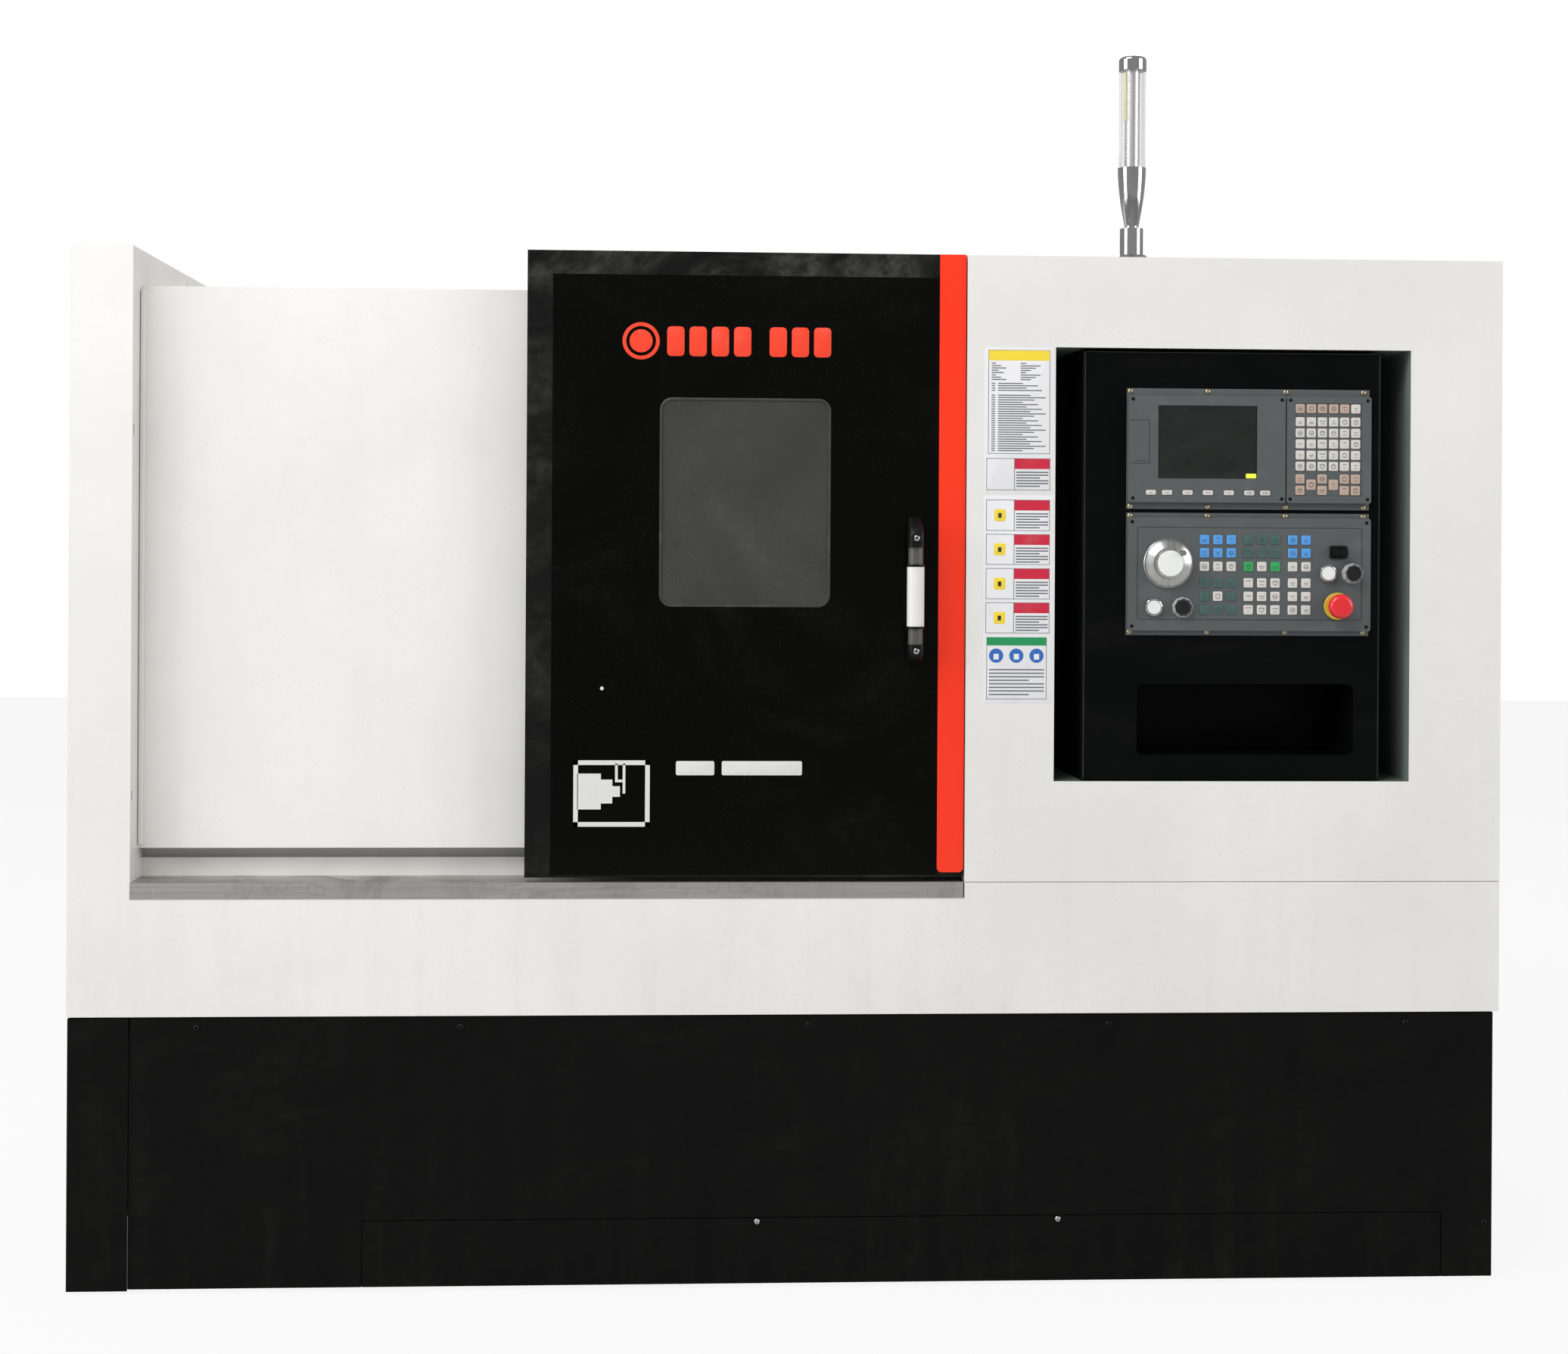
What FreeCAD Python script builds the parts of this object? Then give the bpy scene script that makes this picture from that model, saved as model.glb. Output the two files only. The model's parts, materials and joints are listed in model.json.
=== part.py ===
import FreeCAD, Part
import math
import os

# A slant-bed turning lathe in its sheet-metal enclosure. Millimetres, +Z up, +X to the
# operator's right, the operator stands on the -Y side. The origin is the centre of the
# footprint, on the floor.

# --- Driving dimensions -----------------------------------------------------------------
LENGTH = 2320.0            # overall, left end cover to right side panel
DEPTH = 1490.0             # overall, door handle to rear wall
HANDLE_STANDOFF = 40.0     # the handle stands this far in front of the cabinet
CABINET_TOP = 1674.0
GUARD_TOP = 1615.0         # low roof over the headstock and the work area
SKIRT_TOP = 443.0          # black base below, white cabinet above
FLOOR_GAP = 8.0            # skirts clear the floor
SHEET = 3.0                # sheet metal
SEAM = 2.0                 # open line between neighbouring covers

LEFT = -LENGTH / 2
RIGHT = LENGTH / 2
FRONT = -DEPTH / 2 + HANDLE_STANDOFF
REAR = DEPTH / 2

END_COVER_WIDTH = 99.0
END_COVER_RIGHT = LEFT + END_COVER_WIDTH
RAISED_REAR_SETBACK = 645.0        # the full-height rear housing starts here
SKIRT_SETBACK = 3.0
SKIRT_RIGHT_SETBACK = 9.0
FOLD = 24.0                        # turned-in edges of the covers
REAR_WALL_RECESS = 19.0            # the rear wall stands inside the side covers' rear edges

# --- Door and its guides ----------------------------------------------------------------
DOOR_LEFT = -435.0
DOOR_WIDTH = 710.0
DOOR_BOTTOM = 664.0
DOOR_TOP = 1675.0
DOOR_SETBACK = 5.0
DOOR_THICKNESS = 33.0
DOOR_BAND_LEFT = 41.0
DOOR_BAND_TOP = 38.0
DOOR_BAND_BOTTOM = 4.0
EDGE_STRIP_WIDTH = 43.0
FASCIA_THICKNESS = 5.0
WINDOW_LEFT = 214.0                # from the door's left edge
WINDOW_WIDTH = 277.0
WINDOW_BOTTOM = 1101.0
WINDOW_HEIGHT = 338.0
WINDOW_RADIUS = 20.0
WINDOW_REST = 12.0                 # the pane rests on the frame's web by this much
DOOR_RIGHT = DOOR_LEFT + DOOR_WIDTH
DOOR_FRONT = FRONT + DOOR_SETBACK
DOOR_BACK = DOOR_FRONT + DOOR_THICKNESS
DOOR_TRAVEL = 600.0

GUARD_SETBACK = 57.0
GUARD_FRONT = FRONT + GUARD_SETBACK
GUARD_BOTTOM = 706.0
OPENING_LEFT = -400.0
OPENING_RIGHT = 235.0
OPENING_TOP = 1540.0
GUTTER_FRONT = 15.0                # behind the guard's face
GUTTER_WIDTH = 73.0
GUTTER_DEPTH = 37.0
RAIL_HEIGHT = 15.0
RAIL_THICKNESS = 6.0
ROLLER_RADIUS = 16.0
ROLLER_WIDTH = 14.0
ROLLER_PIN_RADIUS = 5.0
ROLLER_INSET = 110.0               # from the door's side edges
RUNNING_FIT = 0.05                 # radial, shaft in bore
ROLL_GAP = 0.3                     # between rolling or sliding faces

STRIP_SETBACK = 85.0               # lower guide behind the ledge
STRIP_TOP = 687.0
GUIDE_WIDTH = 18.0
GUIDE_BLOCK_WIDTH = 14.0
GUIDE_REAR = FRONT + STRIP_SETBACK + 2 * SHEET + GUIDE_WIDTH
LEDGE_TOP = 657.0
LEDGE_HEIGHT = 26.0
LEDGE_PROUD = 1.0

# --- Door handle ------------------------------------------------------------------------
HANDLE_INSET = 83.0                # centre to the door's right edge
HANDLE_X = DOOR_RIGHT - HANDLE_INSET
HANDLE_TOP = 1249.0
HANDLE_BOTTOM = 1008.0
HANDLE_BAR_TOP = 1199.0
HANDLE_BAR_BOTTOM = 1043.0
HANDLE_SLEEVE_TOP = 1168.0
HANDLE_SLEEVE_BOTTOM = 1072.0
HANDLE_BAR_RADIUS = 12.0
HANDLE_SLEEVE_RADIUS = 14.0
HANDLE_FOOT_WIDTH = 24.0

# --- Right cabinet, niche and swivelling console ------------------------------------------
RIGHT_PANEL_LEFT = DOOR_RIGHT + SEAM
NICHE_LEFT = 421.6
NICHE_RIGHT = 1008.0
NICHE_BOTTOM = 820.0
NICHE_TOP = 1526.0
NICHE_DEPTH = 362.0
CONSOLE_LEFT = 468.0
CONSOLE_RIGHT = 962.0
CONSOLE_RECESS = 10.0
CONSOLE_DEPTH = 270.0
CONSOLE_CLEARANCE = 2.0            # below; 5 above
CONSOLE_TOP_CLEARANCE = 5.0
PIVOT_RADIUS = 12.0
PIVOT_BOSS_RADIUS = 25.0
PIVOT_BOSS_HEIGHT = 22.0
POCKET = (559.0, 918.0, 862.0, 979.0)      # x from, x to, z from, z to
POCKET_DEPTH = 150.0
POCKET_RADIUS = 12.0
CONSOLE_FACE = FRONT + CONSOLE_RECESS
DISPLAY = (541.0, 942.0, 1264.0, 1461.0)
OPERATOR = (541.0, 942.0, 1058.0, 1258.0)
BACKING = 3.0
BEZEL = 9.0
BEZEL_RADIUS = 4.0
SCREEN = (590.0, 753.0, 1314.0, 1433.0)
KEYPAD_LEFT = 802.0
BEZEL_BOTTOM = 1275.0
BEZEL_TOP = 1449.0
OPERATOR_FACE = CONSOLE_FACE - BACKING - BEZEL
WHEEL_AT = (607.0, 1175.5)
WHEEL_RADIUS = 38.0
WHEEL_DIAL_RADIUS = 40.0
WHEEL_CAP_RADIUS = 24.5
ESTOP_AT = (886.0, 1107.0)
SWITCH_AT = (888.0, 1195.0)
BUTTONS = {
    "button_white_left": (583.0, 1104.0),
    "button_black_left": (631.0, 1104.0),
    "button_white_right": (870.0, 1160.5),
    "button_guarded": (910.0, 1160.5),
}
BUTTON_RADIUS = 11.0
BUTTON_STEM = 8.0
BUTTON_COLLAR = 13.5
BUTTON_STROKE = 2.5
ESTOP_STROKE = 4.0

# --- Bed, headstock, spindle --------------------------------------------------------------
SLANT = 45.0                       # bed angle, degrees
AXIS_Y = -210.0                    # spindle axis
AXIS_Z = 1050.0
BED_DROP = 240.0                   # spindle axis above the bed face, square to it
BED_LOW = -190.0                   # bed face along the slant, below the axis
BED_HIGH = 330.0
BED_LEFT = -1000.0
BED_RIGHT = 1000.0
CASTING_WALL = 28.0
BASE = (-1040.0, 1100.0, -600.0, 560.0)
BASE_BOTTOM = 45.0
BASE_TOP = 430.0
BED_BAYS = 4
FOOT_RADIUS = 40.0
STUD_RADIUS = 12.0
STUD_BORE = 12.2
RAILS_ALONG = (-130.0, 230.0)      # rail centres along the slant
RAIL_WIDTH = 35.0
RAIL_RISE = 34.0
RAIL_LEFT = -420.0
RAIL_RIGHT = 960.0

HEADSTOCK = (-760.0, -470.0)
HEADSTOCK_HALF = 150.0
BEARING_OUTER = 80.0
BEARING_LENGTH = 60.0
SPINDLE_RADIUS = 50.0
SPINDLE_BORE = 26.0
SPINDLE_TAIL_RADIUS = 45.0
SPINDLE_TAIL = -1140.0
NOSE_RADIUS = 82.0
NOSE = (-466.0, -440.0)
CHUCK_RADIUS = 105.0
CHUCK = (-440.0, -360.0)
JAW_WIDTH = 24.0
JAW_SLOT_DEPTH = 25.0
JAW_GAP = 0.2
JAWS = 3
JAW_TRAVEL = 6.0
PULLEY = (-1130.0, -1075.0)
PULLEY_RADIUS = 100.0
PULLEY_FLANGE = 8.0
MOTOR_PULLEY_RADIUS = 70.0
BELT_THICKNESS = 8.0
MOTOR = (-1000.0, -620.0)
MOTOR_RADIUS = 115.0
MOTOR_SHAFT = 24.0
MOTOR_RISE = 150.0                 # motor axis above the bed's top

# --- Carriage, turret, tailstock ----------------------------------------------------------
SADDLE = (0.0, 240.0)
SADDLE_ALONG = (-172.0, 430.0)
SADDLE_BOTTOM = -200.0
SADDLE_TOP = -150.0
WAY_AT = (45.0, 195.0)
WAY_WIDTH = 30.0
WAY_RISE = 25.0
CROSS_CENTRE = 290.0               # turret axis along the slant, at rest
CROSS_HALF = 115.0
CROSS_TOP = -80.0
TURRET_HALF = 95.0
DISC = (-75.0, -15.0)
DISC_RADIUS = 150.0
STATIONS = 8
TOOL_REACH = 45.0
SCREW_ALONG = 50.0
SCREW_DROP = -222.0
SCREW_RADIUS = 16.0
SCREW_SUPPORTS = ((-455.0, -425.0), (900.0, 930.0))
TAILSTOCK = (500.0, 680.0)
TAILSTOCK_HALF = 75.0
QUILL_RADIUS = 40.0
QUILL = (440.0, 640.0)
CENTRE_SHANK = 18.0
CENTRE_TIP = 365.0

# --- Signal tower -------------------------------------------------------------------------
TOWER_X = 554.0
TOWER_Y = FRONT + 50.0
TOWER_RADIUS = 23.0
TOWER_TUBE_BOTTOM = 1826.0
TOWER_TUBE_TOP = 1986.5
TOWER_TOP = 2009.0
TOWER_CORE_RADIUS = 12.0
TOWER_FLANGE_RADIUS = 28.0
TOWER_FOOT_RADIUS = 19.0
TOWER_FOOT_TOP = 1726.0
TOWER_NECK_RADIUS = 11.5

PARTS = "parts"
X_AXIS = FreeCAD.Vector(1, 0, 0)
Y_AXIS = FreeCAD.Vector(0, 1, 0)
Z_AXIS = FreeCAD.Vector(0, 0, 1)


# --- Small builders -----------------------------------------------------------------------
def vec(x, y, z):
    return FreeCAD.Vector(x, y, z)


def box(x0, x1, y0, y1, z0, z1):
    """A block between two corners."""
    return Part.makeBox(x1 - x0, y1 - y0, z1 - z0, vec(x0, y0, z0))


def rod(axis, start, end, radius, at):
    """A cylinder along axis, from start to end; at holds its other two coordinates."""
    if axis == "x":
        return Part.makeCylinder(radius, end - start, vec(start, at[0], at[1]), X_AXIS)
    if axis == "y":
        return Part.makeCylinder(radius, end - start, vec(at[0], start, at[1]), Y_AXIS)
    return Part.makeCylinder(radius, end - start, vec(at[0], at[1], start), Z_AXIS)


def join(pieces):
    """One solid from pieces that touch or overlap."""
    whole = pieces[0].multiFuse(pieces[1:])
    return whole.removeSplitter()


def less(shape, tools):
    """The shape with every tool cut away."""
    for tool in tools:
        shape = shape.cut(tool)
    return shape


def prism_x(points, x0, x1):
    """A solid with the outline points (y, z), from x0 to x1."""
    corners = [vec(x0, y, z) for y, z in points]
    face = Part.Face(Part.makePolygon(corners + corners[:1]))
    return face.extrude(vec(x1 - x0, 0, 0))


def rounded_plate(x0, x1, z0, z1, y0, y1, radius):
    """A plate facing the operator, with its four corners rounded."""
    plate = box(x0, x1, y0, y1, z0, z1)
    upright = [
        edge for edge in plate.Edges
        if abs(edge.Vertexes[0].Y - edge.Vertexes[1].Y) > (y1 - y0) / 2
    ]
    return plate.makeFillet(radius, upright)


def slanted(shape):
    """Carry a shape from bed axes (x, along the slant, square to it) to the machine."""
    placed = shape.copy()
    placed.rotate(vec(0, 0, 0), X_AXIS, SLANT)
    placed.translate(vec(0, AXIS_Y, AXIS_Z))
    return placed


def slant_point(along, rise):
    """(y, z) of a point given in bed axes."""
    angle = math.radians(SLANT)
    y = AXIS_Y + along * math.cos(angle) - rise * math.sin(angle)
    z = AXIS_Z + along * math.sin(angle) + rise * math.cos(angle)
    return y, z


def about_axis(shape, degrees, y=AXIS_Y, z=AXIS_Z):
    """Turn a copy of a shape about a line parallel to X."""
    turned = shape.copy()
    turned.rotate(vec(0, y, z), X_AXIS, degrees)
    return turned


# --- Bed and feet -------------------------------------------------------------------------
def bed_outline(inset):
    """Section of the slanted bed above the base, drawn in by inset."""
    low_y, low_z = slant_point(BED_LOW, -BED_DROP)
    high_y, high_z = slant_point(BED_HIGH, -BED_DROP)
    crest = high_y + 147.0
    heel = crest + 140.0
    step = inset * math.sqrt(2)
    return [
        (low_y + inset, BASE_TOP + inset),
        (low_y + inset, low_z + inset - step),
        (high_y - inset + step, high_z - inset),
        (crest + 2 * inset, high_z - inset),
        (heel + 2 * inset, BASE_TOP + inset),
    ]


def foot_places():
    """Centres of the six levelling feet."""
    left, right, front, rear = BASE
    inset = 55.0
    middle = (left + right) / 2
    return [(x, y) for x in (left + inset, middle, right - inset)
            for y in (front + inset, rear - inset)]


def make_bed():
    """Base and slanted bed, cast in one, open below and at the back between its ribs."""
    left, right, front, rear = BASE
    base = box(left, right, front, rear, BASE_BOTTOM, BASE_TOP)
    middle = (left + right) / 2
    half_rib = CASTING_WALL / 2
    pockets = []
    for x0, x1 in ((left + CASTING_WALL, middle - half_rib), (middle + half_rib, right - CASTING_WALL)):
        pockets.append(box(x0, x1, front + CASTING_WALL, rear - CASTING_WALL,
                           BASE_BOTTOM - 1, BASE_TOP - CASTING_WALL))
    wedge = prism_x(bed_outline(0.0), BED_LEFT, BED_RIGHT)
    bay = (BED_RIGHT - BED_LEFT - (BED_BAYS + 1) * CASTING_WALL) / BED_BAYS
    for number in range(BED_BAYS):
        x0 = BED_LEFT + CASTING_WALL + number * (bay + CASTING_WALL)
        pockets.append(prism_x(bed_outline(CASTING_WALL), x0, x0 + bay))
    bosses = [rod("z", BASE_BOTTOM, BASE_BOTTOM + 70, 50.0, at) for at in foot_places()]
    brackets = []
    for x0, x1 in SCREW_SUPPORTS:
        brackets.append(slanted(box(x0, x1, SCREW_ALONG - 40, SCREW_ALONG + 40,
                                    -BED_DROP - 1, SCREW_DROP + 28)))
    casting = less(join([base, wedge]), pockets)
    casting = join([casting] + bosses + brackets)
    bores = [rod("z", BASE_BOTTOM - 1, BASE_BOTTOM + 60, STUD_BORE, at) for at in foot_places()]
    x0 = SCREW_SUPPORTS[0][0] - 1
    x1 = SCREW_SUPPORTS[1][1] + 1
    bores.append(slanted(rod("x", x0, x1, SCREW_RADIUS + RUNNING_FIT, (SCREW_ALONG, SCREW_DROP))))
    return less(casting, bores)


def make_feet():
    """Six identical levelling feet: pad, nut and stud turned as one."""
    feet = []
    for at in foot_places():
        pad = Part.makeCone(FOOT_RADIUS, FOOT_RADIUS - 8, 18.0, vec(at[0], at[1], 0))
        nut = rod("z", 18.0, BASE_BOTTOM, 22.0, at)
        stud = rod("z", BASE_BOTTOM, BASE_BOTTOM + 50, STUD_RADIUS, at)
        feet.append(join([pad, nut, stud]))
    return Part.makeCompound(feet)


# --- Black skirts -------------------------------------------------------------------------
KICK = (-692.0, 1067.0)
KICK_TOP = 115.0
STAYS_ALONG = (-520.0, 520.0)
STAYS_ACROSS = (-300.0, 300.0)


def seat_ring(left, right, front, rear, open_left):
    """Turned-in top of a skirt, its inner part raised so the white covers rest on it."""
    top = SKIRT_TOP - SEAM
    side = -1 if open_left else FOLD
    lip = less(box(left, right, front, rear, top - SHEET, top),
               [box(left + side, right - (FOLD if open_left else -1), front + FOLD, rear - FOLD,
                    top - SHEET - 1, top + 1)])
    edge = 5.0
    far_left = -1 if open_left else edge
    seat = less(box(left + (0 if open_left else edge), right - (edge if open_left else 0),
                    front + edge, rear - edge, top, SKIRT_TOP),
                [box(left + side, right - (FOLD if open_left else -1), front + FOLD, rear - FOLD,
                     top - 1, SKIRT_TOP + 1)])
    return join([lip, seat])


def skirt_stays(front, rear, right):
    """Flat stays from the skirt to the casting, each turned down against it."""
    x0, x1, y0, y1 = BASE
    z = BASE_TOP - 60
    stays = []
    for x in STAYS_ALONG:
        stays.append(box(x - 30, x + 30, front, y0, z, z + SHEET))
        stays.append(box(x - 30, x + 30, y0 - SHEET, y0, z - 40, z + SHEET))
        stays.append(box(x - 30, x + 30, y1, rear, z, z + SHEET))
        stays.append(box(x - 30, x + 30, y1, y1 + SHEET, z - 40, z + SHEET))
    for y in STAYS_ACROSS:
        stays.append(box(x1, right, y - 30, y + 30, z, z + SHEET))
        stays.append(box(x1, x1 + SHEET, y - 30, y + 30, z - 40, z + SHEET))
    return stays


def make_base_skirt():
    """Black sheet round the front, right side and rear of the base."""
    left = END_COVER_RIGHT + SEAM / 2
    right = RIGHT - SKIRT_RIGHT_SETBACK
    front = FRONT + SKIRT_SETBACK
    rear = REAR - SKIRT_SETBACK
    outer = box(left, right, front, rear, FLOOR_GAP, SKIRT_TOP - SEAM)
    hollow = box(left - 1, right - SHEET, front + SHEET, rear - SHEET, FLOOR_GAP - 1, SKIRT_TOP + 1)
    kick = box(KICK[0], KICK[1], front - 1, front + SHEET + 1, FLOOR_GAP - 1, KICK_TOP)
    ring = seat_ring(left, right, front, rear, True)
    return join([less(outer, [hollow, kick]), ring] + skirt_stays(front + SHEET - 1, rear - SHEET + 1, right - 1))


def make_kick_panel():
    """Removable panel along the foot of the front skirt, lapped behind it."""
    front = FRONT + SKIRT_SETBACK
    face = box(KICK[0] + 1.5, KICK[1] - 1.5, front, front + SHEET, FLOOR_GAP, KICK_TOP - 1.5)
    lap = box(KICK[0] - 15, KICK[1] + 15, front + SHEET, front + 2 * SHEET, FLOOR_GAP, KICK_TOP + 15)
    return join([face, lap])


def make_end_skirt():
    """Black skirt under the left end cover: front, left and rear faces."""
    left = LEFT + 2.0
    right = END_COVER_RIGHT - SEAM / 2
    front = FRONT
    rear = REAR - SKIRT_SETBACK
    outer = box(left, right, front, rear, FLOOR_GAP - 2, SKIRT_TOP - SEAM)
    hollow = box(left + SHEET, right + 1, front + SHEET, rear - SHEET, 0, SKIRT_TOP + 1)
    ring = seat_ring(left, right, front, rear, False)
    x0 = BASE[0]
    z = BASE_TOP - 60
    stays = []
    for y in STAYS_ACROSS:
        stays.append(box(left + 1, x0, y - 30, y + 30, z, z + SHEET))
        stays.append(box(x0 - SHEET, x0, y - 30, y + 30, z - 40, z + SHEET))
    return join([less(outer, [hollow]), ring] + stays)


# --- White covers on the left ---------------------------------------------------------------
def make_end_cover():
    """Full-height left end cover over the pulleys, with a bar-feed hole in its side."""
    outer = box(LEFT, END_COVER_RIGHT, FRONT, REAR, SKIRT_TOP, CABINET_TOP)
    hollow = box(LEFT + SHEET, END_COVER_RIGHT - SHEET, FRONT + SHEET, REAR - SHEET,
                 SKIRT_TOP - 1, CABINET_TOP - SHEET)
    belt_window = box(END_COVER_RIGHT - 2 * SHEET, END_COVER_RIGHT + 1,
                      GUARD_FRONT + 60, REAR - 120, SKIRT_TOP + 60, GUARD_TOP - 60)
    bar_hole = rod("x", LEFT - 1, LEFT + 2 * SHEET, 40.0, (AXIS_Y, AXIS_Z))
    slots = []
    for y, z in ((FRONT + 12.0, 1380.0), (FRONT + 12.0, 795.0), (FRONT + 446.0, 1652.0)):
        slots.append(box(END_COVER_RIGHT - 2 * SHEET, END_COVER_RIGHT + 1, y - 3, y + 3, z - 8, z + 8))
    inner = END_COVER_RIGHT - SHEET
    fold = less(box(LEFT, inner, FRONT, REAR, SKIRT_TOP, SKIRT_TOP + SHEET),
                [box(LEFT + FOLD, inner + 1, FRONT + FOLD, REAR - FOLD, SKIRT_TOP - 1, SKIRT_TOP + SHEET + 1)])
    return join([less(outer, [hollow, belt_window, bar_hole] + slots), fold])


def make_front_guard():
    """Sheet behind the door's path: face with the door opening, gutter, low roof."""
    left = END_COVER_RIGHT
    right = RIGHT_PANEL_LEFT
    top = GUARD_TOP
    gutter_y0 = GUARD_FRONT + GUTTER_FRONT
    gutter_y1 = gutter_y0 + GUTTER_WIDTH
    gutter_z = top - GUTTER_DEPTH
    face = box(left, right, GUARD_FRONT, GUARD_FRONT + SHEET, GUARD_BOTTOM, top)
    opening = box(OPENING_LEFT, OPENING_RIGHT, GUARD_FRONT - 1, GUARD_FRONT + SHEET + 1,
                  GUARD_BOTTOM + 14, OPENING_TOP)
    folds = [
        box(left, right, GUARD_FRONT, gutter_y0, top - SHEET, top),
        box(left, right, gutter_y0 - SHEET, gutter_y0, gutter_z - SHEET, top),
        box(left, right, gutter_y0 - SHEET, gutter_y1 + SHEET, gutter_z - SHEET, gutter_z),
        box(left, right, gutter_y1, gutter_y1 + SHEET, gutter_z - SHEET, top),
        box(left, right, gutter_y1, FRONT + RAISED_REAR_SETBACK, top - SHEET, top),
        box(left, right, GUARD_FRONT, GUARD_FRONT + 22, GUARD_BOTTOM, GUARD_BOTTOM + SHEET),
    ]
    return join([less(face, [opening])] + folds)


def rail_y():
    """Centre line of the door's hanging rail."""
    return GUARD_FRONT + GUTTER_FRONT + GUTTER_WIDTH / 2 - 1.5


def rail_top():
    """Running edge of the door's hanging rail."""
    return GUARD_TOP - GUTTER_DEPTH + SHEET + RAIL_HEIGHT


def make_door_rail():
    """Inverted T rail that the door's rollers run on."""
    floor = GUARD_TOP - GUTTER_DEPTH
    left = END_COVER_RIGHT + 6
    right = DOOR_RIGHT - 5
    foot = box(left, right, rail_y() - 25, rail_y() + 25, floor, floor + SHEET)
    web = box(left, right, rail_y() - RAIL_THICKNESS / 2, rail_y() + RAIL_THICKNESS / 2,
              floor + SHEET, rail_top())
    return join([foot, web])


def make_lower_guide():
    """White strip under the guard, folded back into a channel for the door's guide block."""
    left = END_COVER_RIGHT
    right = RIGHT_PANEL_LEFT
    front = FRONT + STRIP_SETBACK
    inner = front + SHEET + GUIDE_WIDTH
    strip = box(left, right, front, front + SHEET, LEDGE_TOP, STRIP_TOP)
    floor = box(left, right, front, inner + SHEET, LEDGE_TOP, LEDGE_TOP + SHEET)
    back = box(left, right, inner, inner + SHEET, LEDGE_TOP, STRIP_TOP + 14)
    return join([strip, floor, back])


def make_ledge():
    """Stainless ledge under the door's path."""
    right = RIGHT_PANEL_LEFT - SEAM
    nose = FRONT - LEDGE_PROUD
    tread = box(END_COVER_RIGHT, right, nose, GUIDE_REAR, LEDGE_TOP - 2, LEDGE_TOP)
    riser = box(END_COVER_RIGHT, right, nose, nose + 2, LEDGE_TOP - LEDGE_HEIGHT, LEDGE_TOP)
    return join([tread, riser])


def make_lower_panel():
    """White panel between the skirt and the ledge, stepped up beyond the door."""
    low_top = LEDGE_TOP - LEDGE_HEIGHT
    left = END_COVER_RIGHT
    face = join([
        box(left, RIGHT, FRONT, FRONT + SHEET, SKIRT_TOP, low_top),
        box(RIGHT_PANEL_LEFT, RIGHT, FRONT, FRONT + SHEET, low_top, LEDGE_TOP - 1),
    ])
    folds = [
        box(left, RIGHT, FRONT, FRONT + FOLD, SKIRT_TOP, SKIRT_TOP + SHEET),
        box(left, RIGHT_PANEL_LEFT, FRONT, FRONT + FOLD, low_top - SHEET, low_top),
        box(RIGHT_PANEL_LEFT, RIGHT, FRONT, FRONT + FOLD, LEDGE_TOP - 1 - SHEET, LEDGE_TOP - 1),
        box(RIGHT - SHEET, RIGHT, FRONT, FRONT + 60, SKIRT_TOP, LEDGE_TOP - 1),
    ]
    return join([face] + folds)


# --- Rear and right covers ------------------------------------------------------------------
CABINET_DOOR = (-880.0, -180.0, 560.0, 1560.0)
CABINET_DOOR_GAP = 1.5
CABINET_DEPTH = 160.0
HINGE_PIN = 5.0
KNUCKLE = 9.0
KNUCKLES = ((640.0, 700.0), (1420.0, 1480.0))


def rear_wall():
    """Y of the rear wall's inner and outer faces."""
    return REAR - REAR_WALL_RECESS - SHEET, REAR - REAR_WALL_RECESS


def hinge_at():
    """(x, y) of the rear cabinet door's hinge pins."""
    return CABINET_DOOR[0] - CABINET_DOOR_GAP, REAR - KNUCKLE


def make_rear_housing():
    """Full-height rear housing: front step, roof, rear wall with the electrical cabinet."""
    front = FRONT + RAISED_REAR_SETBACK
    left = END_COVER_RIGHT
    right = RIGHT_PANEL_LEFT
    inner, outer = rear_wall()
    step = box(left, right, front, front + SHEET, GUARD_TOP - 40, CABINET_TOP)
    roof = box(left, right, front, outer, CABINET_TOP - SHEET, CABINET_TOP)
    wall = box(left, RIGHT - SHEET, inner, outer, SKIRT_TOP, CABINET_TOP)
    x0, x1, z0, z1 = CABINET_DOOR
    opening = box(x0, x1, inner - 1, outer + 1, z0, z1)
    case = less(box(x0 - SHEET, x1 + SHEET, inner - CABINET_DEPTH, inner + 1, z0 - SHEET, z1 + SHEET),
                [box(x0, x1, inner - CABINET_DEPTH + SHEET, outer, z0, z1)])
    vents = [box(620 + 40 * n, 640 + 40 * n, inner - 1, outer + 1, 1180, 1420) for n in range(8)]
    return join([step, roof, less(wall, [opening] + vents), case] + make_hinge_ears())


def make_hinge_ears():
    """Fixed knuckles beside the rear cabinet door, with their pins."""
    x0 = CABINET_DOOR[0]
    inner, outer = rear_wall()
    ears = []
    for z0, z1 in KNUCKLES:
        middle = (z0 + z1) / 2
        ears.append(rod("z", z0, middle, KNUCKLE, hinge_at()))
        ears.append(rod("z", middle - 1, z1, HINGE_PIN - RUNNING_FIT, hinge_at()))
        ears.append(box(x0 - 10, x0 - CABINET_DOOR_GAP, inner + 1, hinge_at()[1], z0, middle))
    return ears


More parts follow.
